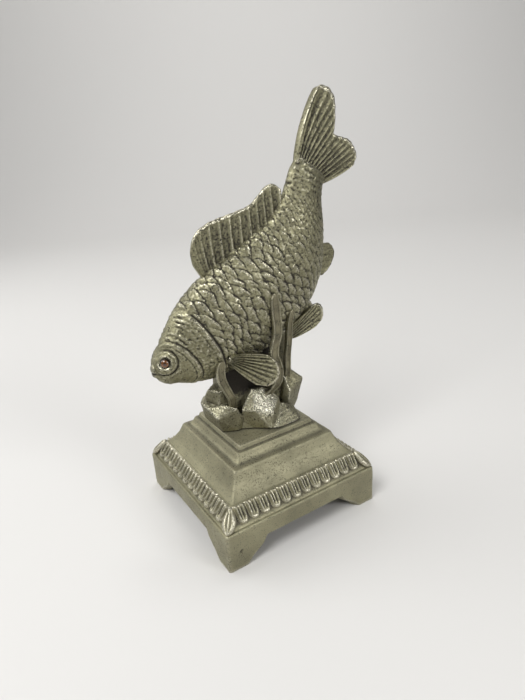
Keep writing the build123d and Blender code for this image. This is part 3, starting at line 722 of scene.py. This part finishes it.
make_fin("tail_fin_blade", "tail_fin", (38.4, 0, 151.9), fin_axes(45.0), tail_outline, FinSizes(
    rays=14, web=0.65, ray_height=0.75, ray_sharpness=2.6, rim=0.10, first_rim=1.0, last_rim=0.6,
    web_patina=1.0))
anal_outline = [
    [(0, 2.0, -4.5), (0.5, 8.5, -5.0), (1, 15.5, -4.5)],
    [(0, 0.8, 1.5), (0.5, 8.0, 2.5), (1, 16.2, 0.0)],
    [(0, 1.0, 3.0), (0.2, 2.6, 5.6), (0.42, 6.0, 7.2), (0.62, 10.0, 6.4), (0.82, 13.8, 4.0),
     (1, 16.4, 0.6)],
]
make_fin("anal_fin_blade", "anal_fin", (45.12, 0, 119.4), fin_axes(261.0), anal_outline, FinSizes(
    rays=6, web=0.60, ray_height=0.30, ray_sharpness=2, rim=0.2, first_rim=0.2, last_rim=0.2,
    web_patina=0.6))
pectoral_outline = [
    [(0, -0.5, 1.5), (0.5, -0.9, 0.0), (1, -0.5, -1.5)],
    [(0, 7.5, 5.2), (0.5, 11.0, 0.2), (1, 6.0, -5.6)],
    [(0, 16.0, 5.9), (0.2, 20.4, 4.4), (0.4, 23.5, 1.2), (0.55, 24.6, -1.8), (0.7, 24.2, -4.8),
     (0.85, 21.4, -7.6), (1, 15.0, -8.4)],
]
pectoral_sizes = FinSizes(
    rays=8, web=0.45, ray_height=1.0, ray_sharpness=1.3, rim=0.05, first_rim=0.1, last_rim=0.2,
    web_patina=1.0)
pelvic_outline = [
    [(0, -2.6, 3.4), (0.5, -2.8, 0.0), (1, -2.2, -2.8)],
    [(0, 5.5, 4.6), (0.5, 7.0, -0.2), (1, 3.5, -4.6)],
    [(0, 13.0, 5.6), (0.25, 16.8, 5.0), (0.45, 18.4, 2.6), (0.65, 18.2, -0.8), (0.82, 16.2, -3.9),
     (1, 10.8, -5.2)],
]
pelvic_sizes = FinSizes(
    rays=7, web=0.50, ray_height=0.65, ray_sharpness=2.0, rim=0.2, first_rim=0.3, last_rim=0.3,
    web_patina=1.0)
for side, hand in ((-1, "left"), (1, "right")):
    make_fin(f"pectoral_fin_blade_{hand}", f"{hand}_pectoral_fin", (-14.46, -9.29, 79.28),
             fin_axes(-24.8, 14.7), pectoral_outline, pectoral_sizes, side)
    make_fin(f"pelvic_fin_blade_{hand}", f"{hand}_pelvic_fin", (24.0, -2.4, 80.2),
             fin_axes(24.0, 5.0), pelvic_outline, pelvic_sizes, side)


# Water weed
def make_weed(name, node, foot, height, lean, width, tuck, path):
    """A flat weed blade with raised rims, from its root in the rocks to its rounded tip.

    The path is in shares of the width sideways and of the height upwards. The root is tucked back.
    """
    buried = (path[0][0], -4.5 / height)
    path = np.array([buried] + path, float) * np.array([width, height])
    knots = np.concatenate([[0], np.cumsum(np.linalg.norm(np.diff(path, axis=0), axis=1))])
    along = np.linspace(0, knots[-1], 110)
    line = through(knots, path, along)
    past_shoulder = np.clip((along / knots[-1] - 0.88) / 0.12, 0, 1)
    taper = np.sqrt(np.clip(1 - past_shoulder**2.4, 0.004, 1))[:, None, None]
    across = np.linspace(-1, 1, 27)
    thick = 0.62 + 0.62 * bump(np.abs(across), 0.76, 0.17)
    thick = thick * np.sqrt(np.clip(1 - np.abs(across) ** 8, 0, 1))
    both = np.concatenate([across, across[::-1]])
    lift = np.concatenate([thick, -thick[::-1]])
    out = np.array([0, -height, lean]) / math.hypot(height, lean)
    up = np.cross(out, [1, 0, 0])
    sideways = line[:, :1, None] + width / 2 * taper * both[None, :, None]
    points = np.array(foot) + sideways * np.array([1.0, 0, 0]) + line[:, 1:2, None] * up
    points = points + lift[None, :, None] * (0.35 + 0.65 * taper) * out
    points[..., 1] += tuck * (1 - ramp(line[:, 1:2], -2, 6))
    points = np.concatenate([points, points[:, :1]], axis=1)
    points += 0.25 * organic(points, 4.0)[..., None] * np.array([1.0, 0.6, 0])
    ends = points.mean(axis=1, keepdims=True) * np.ones((1, points.shape[1], 1))
    points = np.concatenate([ends[:1], points, ends[-1:]])
    dark = 0.45 * bump(both, 0, 0.5) * (lift > 0)
    dark = np.concatenate([dark, dark[:1]]) * ramp(organic(points, 5.0), -0.5, 0.4)
    piece = shaped_grid(name, points, dark)
    mark_relief(piece, 14, 0.25)
    finish_piece(piece, node, weed_metal)


make_weed(
    "weed_blade_near", "near_weed", foot=(6.7, -12.4, 57.2), height=46.5, lean=1.9, width=5.0, tuck=3.2,
    path=[(-0.7, 0.0), (-0.2, 0.07), (0.12, 0.14), (0.28, 0.24), (0.08, 0.34), (-0.1, 0.42), (0.12, 0.5),
          (0.42, 0.59), (0.52, 0.69), (0.48, 0.8), (0.46, 0.93), (0.5, 1.0)],
)
make_weed(
    "weed_blade_far", "far_weed", foot=(15.6, -8.3, 61.2), height=32.5, lean=-0.4, width=3.2, tuck=1.5,
    path=[(0.0, 0.0), (-0.1, 0.14), (-0.05, 0.3), (0.25, 0.5), (0.48, 0.7), (0.62, 0.82), (0.95, 0.93),
          (1.15, 1.0)],
)
make_weed(
    "weed_blade_front", "front_weed", foot=(-13.6, -8.3, 55.7), height=24.0, lean=-1.1, width=4.4, tuck=2.6,
    path=[(0.0, 0.0), (-0.2, 0.14), (-0.72, 0.36), (-1.22, 0.60), (-1.34, 0.80), (-1.1, 1.0)],
)


# Rocks
def hull(name, corners):
    """A stone as the hull around its corners."""
    mesh = bpy.data.meshes.new(name)
    mesh.from_pydata([tuple(p) for p in in_frame(corners)], [], [])
    piece = bpy.data.objects.new(name, mesh)
    bpy.context.scene.collection.objects.link(piece)
    edit(piece)
    bpy.ops.mesh.convex_hull()
    bpy.ops.mesh.normals_make_consistent(inside=False)
    bpy.ops.object.mode_set(mode="OBJECT")
    return piece


# Stones by their corners: those on the plinth's plate, then those over it
ground_z = 43.25
stones = {
    "ground": (
        [(-19, 9), (-19, -4), (-10, -8), (-2, -14.5), (6, -17.2), (14, -16), (18.6, -7), (18.6, 9),
         (8, 17), (-9, 16.4)],
        [(-17, 7, 50), (-16, -4, 50), (-4, -9, 49.5), (8, -12, 48.5), (15, -7, 49), (15, 7, 50),
         (6, 14, 49.5), (-8, 14, 49.5)],
    ),
    "left": (
        [(-19.4, -5.2), (-19.6, 12.5), (-9, 12), (-9.8, -7.9), (-13.3, -8.9)],
        [(-25.2, 3.0, 57.2), (-24.4, -1.5, 55.4), (-22.4, -7.0, 51.6), (-21.5, 7.5, 57.6),
         (-18.8, -2.0, 57.0), (-16.8, -6.5, 56.5), (-13.0, -9.0, 54.8), (-10.6, -8.8, 50.0),
         (-10.5, 6, 57.5)],
    ),
    "lump": (
        [],
        [(-22.4, 0, 63.7), (-18.2, -4.2, 62.6), (-19.8, -4.4, 57), (-23.4, 2, 60), (-22, 2, 56),
         (-17, 3, 65), (-14, -4.4, 64), (-14, -4.4, 56)],
    ),
    "middle": (
        [(-9.6, -8.2), (-0.9, -17.0), (7.5, -15.5), (10, -4), (-6, 1)],
        [(-10.8, -8.6, 53), (-6.2, -12.6, 52.8), (2.0, -14.9, 50.7), (-4.4, -8.5, 61.6),
         (1.4, -8.0, 60.8), (8.3, -10.5, 54.5), (9.6, -4.5, 58.5), (-6, 0, 61)],
    ),
    "low_right": (
        [(-0.4, -17.2), (2.6, -18.6), (14.6, -18.4), (17.2, -10), (8, -7)],
        [(8.7, -11.5, 52.2), (15.0, -12.2, 48.8), (2.6, -17.4, 45.4), (15.4, -16.6, 44.6)],
    ),
    "right": (
        [(10, -8), (18.4, -7), (19.2, 0), (16.4, 6), (9, 5)],
        [(18.1, -6, 63.9), (24.5, -8, 58.4), (14.5, -11, 55.6), (13.3, -8.5, 61.6), (20.6, -7.5, 46.8),
         (13.4, -11, 50.7), (15.3, -5, 64.0), (20.5, 4, 63), (13, 4, 65)],
    ),
    "rear": (
        [(17, 6), (14.8, 16), (2, 18.2), (-12, 16.4), (-14, 7)],
        [(15, 7, 54.5), (12.4, 14, 52), (2, 15.6, 51.4), (-10, 14.2, 52.4), (-12, 7, 55), (3, 6, 57)],
    ),
    "column": (
        [(-18.2, -3), (8, -7), (19, -4), (17.4, 4.8), (-18.2, 4.6)],
        [(-17.0, -2.8, 77.5), (8, -6, 78), (21.8, -4.6, 85), (20.6, 4.4, 85), (-17.0, 4.0, 77.5),
         (19.4, -5.0, 62), (-12, 7.6, 61), (1, 8.8, 66), (13, 7.0, 71)],
    ),
}

# A painted highlight lies on the facet of the middle stone that faces this way, mostly round its middle
highlight_from = np.array([-0.14, -0.86, 0.49])
highlight_middle = np.array([0.6, -12.0, 55.4])
# Facets that face this way get painted light
painted_light_from = np.array([-0.30, -0.25, 0.92])


def make_rocks():
    """The pile of broken stones, run together as one casting."""
    pieces = []
    for name, (on_plate, over_plate) in stones.items():
        corners = [(x, y, ground_z) for x, y in on_plate] + over_plate
        pieces.append(hull("stone_" + name, corners))
    for piece in pieces:
        edit(piece)
        bpy.ops.mesh.bevel(offset=0.3 * mm, segments=1, affect="EDGES")
        bpy.ops.object.mode_set(mode="OBJECT")
    piece = join("rock_pile", pieces)
    remesh = piece.modifiers.new("run_together", "REMESH")
    remesh.mode = "VOXEL"
    remesh.voxel_size = 0.34 * mm
    bpy.ops.object.modifier_apply(modifier=remesh.name)
    places = corners_of(piece)
    in_mm = places / mm
    rough = 0.12 * organic(in_mm, 3.2) + 0.10 * organic(in_mm + 9.0, 1.0)
    rough *= ramp(in_mm[:, 2], ground_z + 0.3, ground_z + 1.5)
    places += facing_of(piece) * rough[:, None] * mm
    piece.data.vertices.foreach_set("co", places.ravel())
    piece.data.update()
    close_up(piece)
    mark_relief(piece, 12, 0.30)
    paint_rock_light_and_shade(piece)
    finish_piece(piece, "rock_mound", rock_metal)


def paint_rock_light_and_shade(piece):
    """Paints light and shade on the rocks: painted light on facets that face up, a painted highlight on the
    middle stone's front facet, and painted shade on facets that face down, under the fish and where the
    stones meet the plate.
    """
    local, facing = local_places(piece), facing_of(piece)
    x, y, z = local.T
    # Painted shade on the rocks high up under the fish's belly
    shade_under_fish = ramp(z, 57.5, 61) * ramp(y, -8.8, -6.6) * ramp(x, -17.5, -15.5)
    shade_under_fish *= 1 - ramp(y, -2.5, 1.0)
    # Painted light on facets that face up towards the key light
    painted_top_light = ramp(facing @ painted_light_from, 0.35, 0.85) * (1 - shade_under_fish)
    add_mark(piece, "wear_and_highlight", 0.24 * painted_top_light)
    # Painted shade on facets that face down or sideways
    add_mark(piece, "patina_and_shade", 0.20 * (1 - ramp(facing[:, 2], -0.1, 0.35)))
    # Painted highlight: the middle stone's front facet is made bright as if it reflected a lamp
    highlight_facing = facing @ highlight_from * (1 - shade_under_fish)
    from_middle = np.linalg.norm(local - highlight_middle, axis=1)
    add_mark(piece, "wear_and_highlight", 0.85 * ramp(highlight_facing, 0.80, 0.97) * (1 - ramp(from_middle, 3.0, 8.5)))
    # Painted contact shadow where the stones meet the plate
    seam_shadow = 1 - ramp(z, ground_z + 0.2, ground_z + 1.0)
    add_mark(piece, "patina_and_shade", 0.75 * shade_under_fish * (1 - ramp(x, 11.5, 13)) + 0.85 * seam_shadow)


make_rocks()


# Plinth
def soften(points, cut):
    """Rounds the corners of a profile by cutting them twice."""
    points = np.array(points, float)
    for _ in range(2):
        made = [points[0]]
        for before, corner, after in zip(points[:-2], points[1:-1], points[2:]):
            for other in (before, after):
                span = np.linalg.norm(other - corner)
                made.append(corner + (other - corner) * min(0.3, cut / max(span, 1e-6)))
        points = np.array(made + [points[-1]])
        cut = cut / 2
    return points


def divided(points, step):
    """The same profile with points at most a step apart."""
    made = [points[:1]]
    for start, end in zip(points[:-1], points[1:]):
        count = max(1, int(math.ceil(np.linalg.norm(end - start) / step)))
        made.append(start + (end - start) * np.linspace(0, 1, count + 1)[1:, None])
    return np.concatenate(made)


plinth_half, foot_height, sole_start, arch_half = 40.0, 10.4, 32.2, 21.4
inner_half, face_foot, corner_radius = 36.5, 11.0, 1.2
foot_curve = np.array([(0.0, 0.0), (0.17, 0.28), (0.37, 0.46), (0.72, 0.7), (1.0, 1.0)])
# Profiles of the hollow and of the outside over the feet: half the side, then the height
plinth_inside = [
    (0.01, 39.7), (18.1, 39.7), (18.1, 33.2), (22.8, 33.2), (29.3, 24.2), (inner_half, 16.4),
    (inner_half, face_foot),
]
plinth_outside = [
    (plinth_half, face_foot), (plinth_half, 17.4), (39.75, 18.2), (39.2, 18.5), (38.7, 18.3), (38.3, 18.6),
    (36.9, 21.4), (34.9, 24.0), (33.4, 25.5), (32.9, 26.15), (32.5, 26.1), (30.2, 28.7), (28.2, 31.8),
    (26.9, 34.8), (26.3, 36.4), (25.6, 36.75), (24.4, 36.8), (23.2, 37.6), (22.3, 38.7), (21.6, 40.4),
    (21.3, 40.9), (20.3, 41.0), (19.9, 41.4), (19.7, 42.8), (19.3, 43.2), (0.01, 43.2),
]
# Columns along a side, closer together where the feet curve, and the turns of a corner
foot_columns = np.linspace(0.5, 0.86, 26)
side_columns = np.concatenate([np.linspace(-1, 1, 45), foot_columns, -foot_columns])
side_columns = np.unique(np.round(side_columns, 5))
corner_turns = np.radians(np.linspace(0, 90, 6))[1:-1]


def arch_level(along):
    """Height of the arch's edge over the floor, by the distance from the middle of a side."""
    share = np.clip((np.abs(along) - arch_half) / (sole_start - arch_half), 0, 1)
    return foot_height * (1 - through(foot_curve[:, 0], foot_curve[:, 1], share))


def plinth_ring(half, level_of):
    """One line round the plinth; level_of gives its height from the place along a side."""
    radius = min(corner_radius, half * 0.3)
    run = half - radius
    side = np.stack([np.full(len(side_columns), half), side_columns * run], axis=1)
    bend = run + radius * np.stack([np.cos(corner_turns), np.sin(corner_turns)], axis=1)
    quarter = np.concatenate([side, bend])
    along = np.concatenate([side_columns * plinth_half, np.full(len(corner_turns), plinth_half)])
    made = []
    for turn in range(4):
        c, s = round(math.cos(turn * math.pi / 2)), round(math.sin(turn * math.pi / 2))
        flat = quarter @ np.array([(c, s), (-s, c)])
        made.append(np.concatenate([flat, level_of(along)[:, None]], axis=1))
    made = np.concatenate(made)
    return np.concatenate([made, made[:1]])


def flat_level(level):
    """A ring's height where it is the same all the way along."""
    return lambda along: np.full(len(along), level)


def foot_level(share, lip):
    """A ring's height at a share of the way from the arch's edge, raised by a lip, to the upright face."""
    return lambda along: arch_level(along) + lip * (1 - share) + (face_foot - arch_level(along)) * share


def make_plinth():
    """The hollow plinth: inside, soles, face, carved band's bed, cove, two steps and top."""
    upper_in = divided(soften(plinth_inside, 0.8), 2.2)
    upper_out = divided(soften(plinth_outside, 0.35), 0.75)
    up_the_feet = np.linspace(0, 1, 10)
    sole_halves = (36.7, 38.2, 39.8)
    rows = [plinth_ring(half, flat_level(level)) for half, level in upper_in]
    rows += [plinth_ring(inner_half, foot_level(share, 0.15)) for share in up_the_feet[::-1]]
    rows += [plinth_ring(half, arch_level) for half in sole_halves]
    first_outside = len(rows)
    rows += [plinth_ring(plinth_half, foot_level(share, 0.2)) for share in up_the_feet]
    rows += [plinth_ring(half, flat_level(level)) for half, level in upper_out[1:]]
    points = np.array(rows)
    points[0, :, :2] = points[-1, :, :2] = 0

    # A dent in the face by the front corner, and the unevenness of the casting
    dent = np.array([-33.5, -plinth_half, 8.6])
    points[..., 1] += 0.7 * np.exp(-((np.linalg.norm(points - dent, axis=-1) / 0.7) ** 2))
    outside_rows = np.arange(len(rows))[:, None] >= first_outside
    uneven = 0.16 * organic(points, 6.0) + 0.10 * organic(points, 2.2)
    clear = outside_rows * ramp(points[..., 2], 0.5, 2.5) * (1 - ramp(points[..., 2], 42.5, 43.0))
    points = points + (uneven * clear)[..., None] * np.sign(points) * np.array([0.7, 0.7, 0.3])
    shell = shaped_grid("plinth_shell", points)
    mark_relief(shell, 10, 0.7)

    # Patina in the carved band's bed and the lines of the steps, and painted light on the top plate
    local = local_places(shell)
    out, level = np.abs(local[:, :2]).max(axis=1), local[:, 2]
    bed = ramp(level, 18.6, 20.8) * (1 - ramp(level, 25.6, 26.1)) * ramp(out, 32.4, 33)
    add_mark(shell, "patina_and_shade", 0.68 * bed)
    # Painted light: the top plate is made lighter, as if lit from above
    add_mark(shell, "wear_and_highlight", 0.3 * ramp(level, 42.9, 43.1))
    step_lines = 0.55 * bump(level, 41.15, 0.3) * ramp(out, 19.4, 19.8)
    step_lines = step_lines + 0.4 * bump(level, 37.1, 0.45) * ramp(out, 22, 23)
    add_mark(shell, "patina_and_shade", step_lines * (1 - ramp(out, 25.6, 26.2)))
    carving = join("plinth_carving", make_carving())
    mark_relief(carving, 14, 0.24)
    piece = join("stepped_plinth", [shell, carving])
    finish_piece(piece, "plinth", plinth_metal)


# Carving: tongues stand side by side along the band's slope, with a leaf on each corner
tongue_pitch, tongue_count, tongue_length = 5.45, 12, 8.2
leaf_width, leaf_length = 5.6, 10.6
blade_foot = -0.9
band_low, band_high = np.array([38.6, 18.3]), np.array([33.0, 25.9])


def relief_blade(name, width, length, height_at, rows, columns):
    """A carved tongue or leaf lying flat: x across, y up its length, z its height, closed below."""
    across = np.linspace(-1, 1, columns)[None, :]
    up = np.linspace(0, 1, rows)[:, None]
    half = width(up) / 2
    top = np.stack([across * half, up * length + 0 * across, height_at(across, up)], axis=-1)
    foot = top.copy()
    foot[..., 2] = blade_foot
    points = np.concatenate([foot[:1] * [0, 1, 1], foot[:1], top, foot[-1:], foot[-1:] * [0, 1, 1]])
    left, right = points[:, :1].copy(), points[:, -1:].copy()
    left[..., 2] = right[..., 2] = blade_foot
    middle = points[:, :1] * [0, 1, 0] + np.array([0, 0, blade_foot])
    points = np.concatenate([middle, left, points, right, middle], axis=1)
    # The pattern lies at the frame's origin, and its copies are moved to the plinth
    return shaped_grid(name, points - np.array(plinth_middle) / mm)


def tongue_width(up):
    """A tongue's width from its round lower end to its top."""
    end = np.sqrt(np.clip(1 - (1 - np.clip(up / 0.42, 0, 1)) ** 2.2, 0, 1))
    return tongue_pitch * (0.10 + 0.78 * end + 0.12 * up)


def tongue_height(across, up):
    """A tongue with two bold ribs and a low one between, run together in a domed lower end."""
    dome = np.sqrt(np.clip(1 - 0.96 * np.abs(across) ** 2.6, 0, 1))
    ribs = 0.85 * bump(np.abs(across), 0.56, 0.20) + 0.45 * bump(across, 0, 0.16)
    ends = np.sqrt(np.clip(1 - np.abs(2 * up - 1) ** 8, 0, 1))
    low = 1 - ramp(up, 0.12, 0.46)
    return (0.1 + 0.6 * dome + 1.5 * ribs * (1 - low) + 1.15 * dome * low) * ends


def leaf_outline(up):
    """A leaf's width, pointed at both ends."""
    return leaf_width * np.sin(math.pi * np.clip(0.04 + 0.90 * up**0.8, 0, 1)) ** 0.9 + 0.25


def leaf_height(across, up):
    """A pointed leaf with a middle rib and two side ribs."""
    dome = np.sqrt(np.clip(1 - np.abs(across) ** 2.5, 0, 1))
    ribs = 0.55 * bump(across, 0, 0.16) + 0.35 * bump(np.abs(across), 0.62, 0.2)
    return 0.2 + 0.9 * dome + ribs * ramp(up, 0.0, 0.25) * (1 - ramp(up, 0.85, 1.0))


def make_carving():
    """Tongues along the four sides of the band, and a leaf on each corner."""
    tongue = relief_blade("tongue", tongue_width, tongue_length, tongue_height, 22, 27)
    leaf = relief_blade("leaf", leaf_outline, leaf_length, leaf_height, 21, 17)
    slope = (band_high - band_low) / np.linalg.norm(band_high - band_low)
    start = band_low + slope * 1.3
    made = []
    for turn in range(4):
        spin = Matrix.Rotation(turn * math.pi / 2, 4, "Z")
        for number in range(tongue_count):
            place = (number - (tongue_count - 1) / 2) * tongue_pitch
            up = Vector((slope[0], 0, slope[1]))
            side = Vector((0, 1, 0))
            seat = Vector((start[0], place, start[1]))
            made.append(carved_copy(tongue, side, up, seat, spin))
        up = Vector((slope[0], slope[0], slope[1])).normalized()
        side = Vector((-1, 1, 0)).normalized()
        seat = Vector((band_low[0] + 0.1, band_low[0] + 0.1, band_low[1] + 0.1))
        made.append(carved_copy(leaf, side, up, seat, spin))
    for pattern in (tongue, leaf):
        bpy.data.objects.remove(pattern)
    return made


def carved_copy(pattern, side, up, seat, spin):
    """A copy of a carved pattern, laid on the band's slope."""
    piece = pattern.copy()
    piece.data = pattern.data.copy()
    bpy.context.scene.collection.objects.link(piece)
    out = side.cross(up)
    if out.z < 0:
        side, out = -side, -out
    lay = Matrix((side, up, out)).transposed().to_4x4()
    lay.translation = seat * mm
    piece.data.transform(Matrix.Translation(plinth_middle) @ spin @ lay)
    return piece


make_plinth()


# Fasteners under the plinth keep their CAD shapes
def steel_finish():
    """Zinc-plated steel, brushed and a little stained."""
    material, tree, shader = new_material("plated_steel")
    place = place_node(tree)
    stains = noise_node(tree, place, 260, 4)
    grain = noise_node(tree, place, 3000, 2)
    stained = range_node(tree, stains, 0.4, 0.65)
    tone = mix_node(tree, stained, (0.58, 0.57, 0.54, 1), (0.36, 0.33, 0.28, 1))
    rough = range_node(tree, stains, 0.3, 0.7, 0.28, 0.5)
    for socket, value in (("Base Color", tone), ("Metallic", 1.0), ("Roughness", rough)):
        feed(tree, shader.inputs[socket], value)
    add_bump(tree, shader, grain, 0.3, 0.1)
    return material


plated_steel = steel_finish()
for node in ("tie_stud", "tie_washer", "tie_nut", "locating_pins"):
    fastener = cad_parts[node].data
    fastener.materials.clear()
    fastener.materials.append(plated_steel)


# Floor, light and camera
view_right = Vector((0.8376, -0.5421, -0.0677))
view_up = Vector((0.2566, 0.2809, 0.9248))
view_back = Vector((-0.4822, -0.7920, 0.3744))


def make_stage():
    """A plain pale floor that curves up into a backdrop behind the figurine."""
    wall_distance, curve_radius, reach = 1.6, 0.8, 3.0
    turns = np.radians(np.linspace(0, 90, 25))
    curve = wall_distance - curve_radius + curve_radius * np.sin(turns)
    away = np.concatenate([[-reach], curve, [wall_distance]])[:, None, None]
    height = np.concatenate([[0], curve_radius * (1 - np.cos(turns)), [reach]])[:, None, None]
    across = np.linspace(-reach, reach, 3)[None, :, None]
    ahead = np.array([-view_back.x, -view_back.y, 0]) / math.hypot(view_back.x, view_back.y)
    sideways = np.array([ahead[1], -ahead[0], 0])
    points = away * ahead + across * sideways + height * np.array([0, 0, 1])
    floor = shaped_grid("backdrop", points / mm)
    paper, _, shader = new_material("backdrop_paper")
    shader.inputs["Base Color"].default_value = (0.66, 0.65, 0.63, 1)
    shader.inputs["Roughness"].default_value = 0.9
    floor.data.materials.append(paper)


def area_light(name, place, target, size, power):
    """A square soft box that points at a place; both in metres."""
    light = bpy.data.lights.new(name, "AREA")
    light.size = size
    light.energy = power
    lamp = bpy.data.objects.new(name, light)
    lamp.location = place
    lamp.rotation_euler = (Vector(target) - Vector(place)).to_track_quat("-Z", "Y").to_euler()
    bpy.context.scene.collection.objects.link(lamp)


make_stage()
area_light("key_box", (-0.52, -0.24, 0.76), (0, 0, 0.09), 0.4, 5.5)
area_light("fill_box", (0.34, -0.86, 0.46), (0, 0, 0.09), 0.3, 3.6)
area_light("rim_box", (-0.46, 0.46, 0.45), (0, 0, 0.1), 0.5, 2.0)
area_light("backdrop_box", (0.30, 0.50, 1.5), (0.8, 1.3, 0.4), 0.8, 13.0)

world = bpy.data.worlds.new("studio")
bpy.context.scene.world = world
world.use_nodes = True
sky = world.node_tree.nodes["Background"]
sky.inputs["Color"].default_value = (0.86, 0.86, 0.87, 1)
sky.inputs["Strength"].default_value = 0.25

camera = bpy.data.objects.new("photo_camera", bpy.data.cameras.new("photo_camera"))
camera.data.lens = 27.0
camera.data.sensor_width = 36.0
camera.data.clip_start = 0.01
camera_place = Vector((-109.56, -192.58, 165.59)) * mm + plinth_middle
camera_turn = Matrix((view_right, view_up, view_back)).transposed().to_4x4()
camera.matrix_world = Matrix.Translation(camera_place) @ camera_turn
bpy.context.scene.collection.objects.link(camera)
bpy.context.scene.camera = camera
bpy.context.scene.view_settings.view_transform = "Standard"
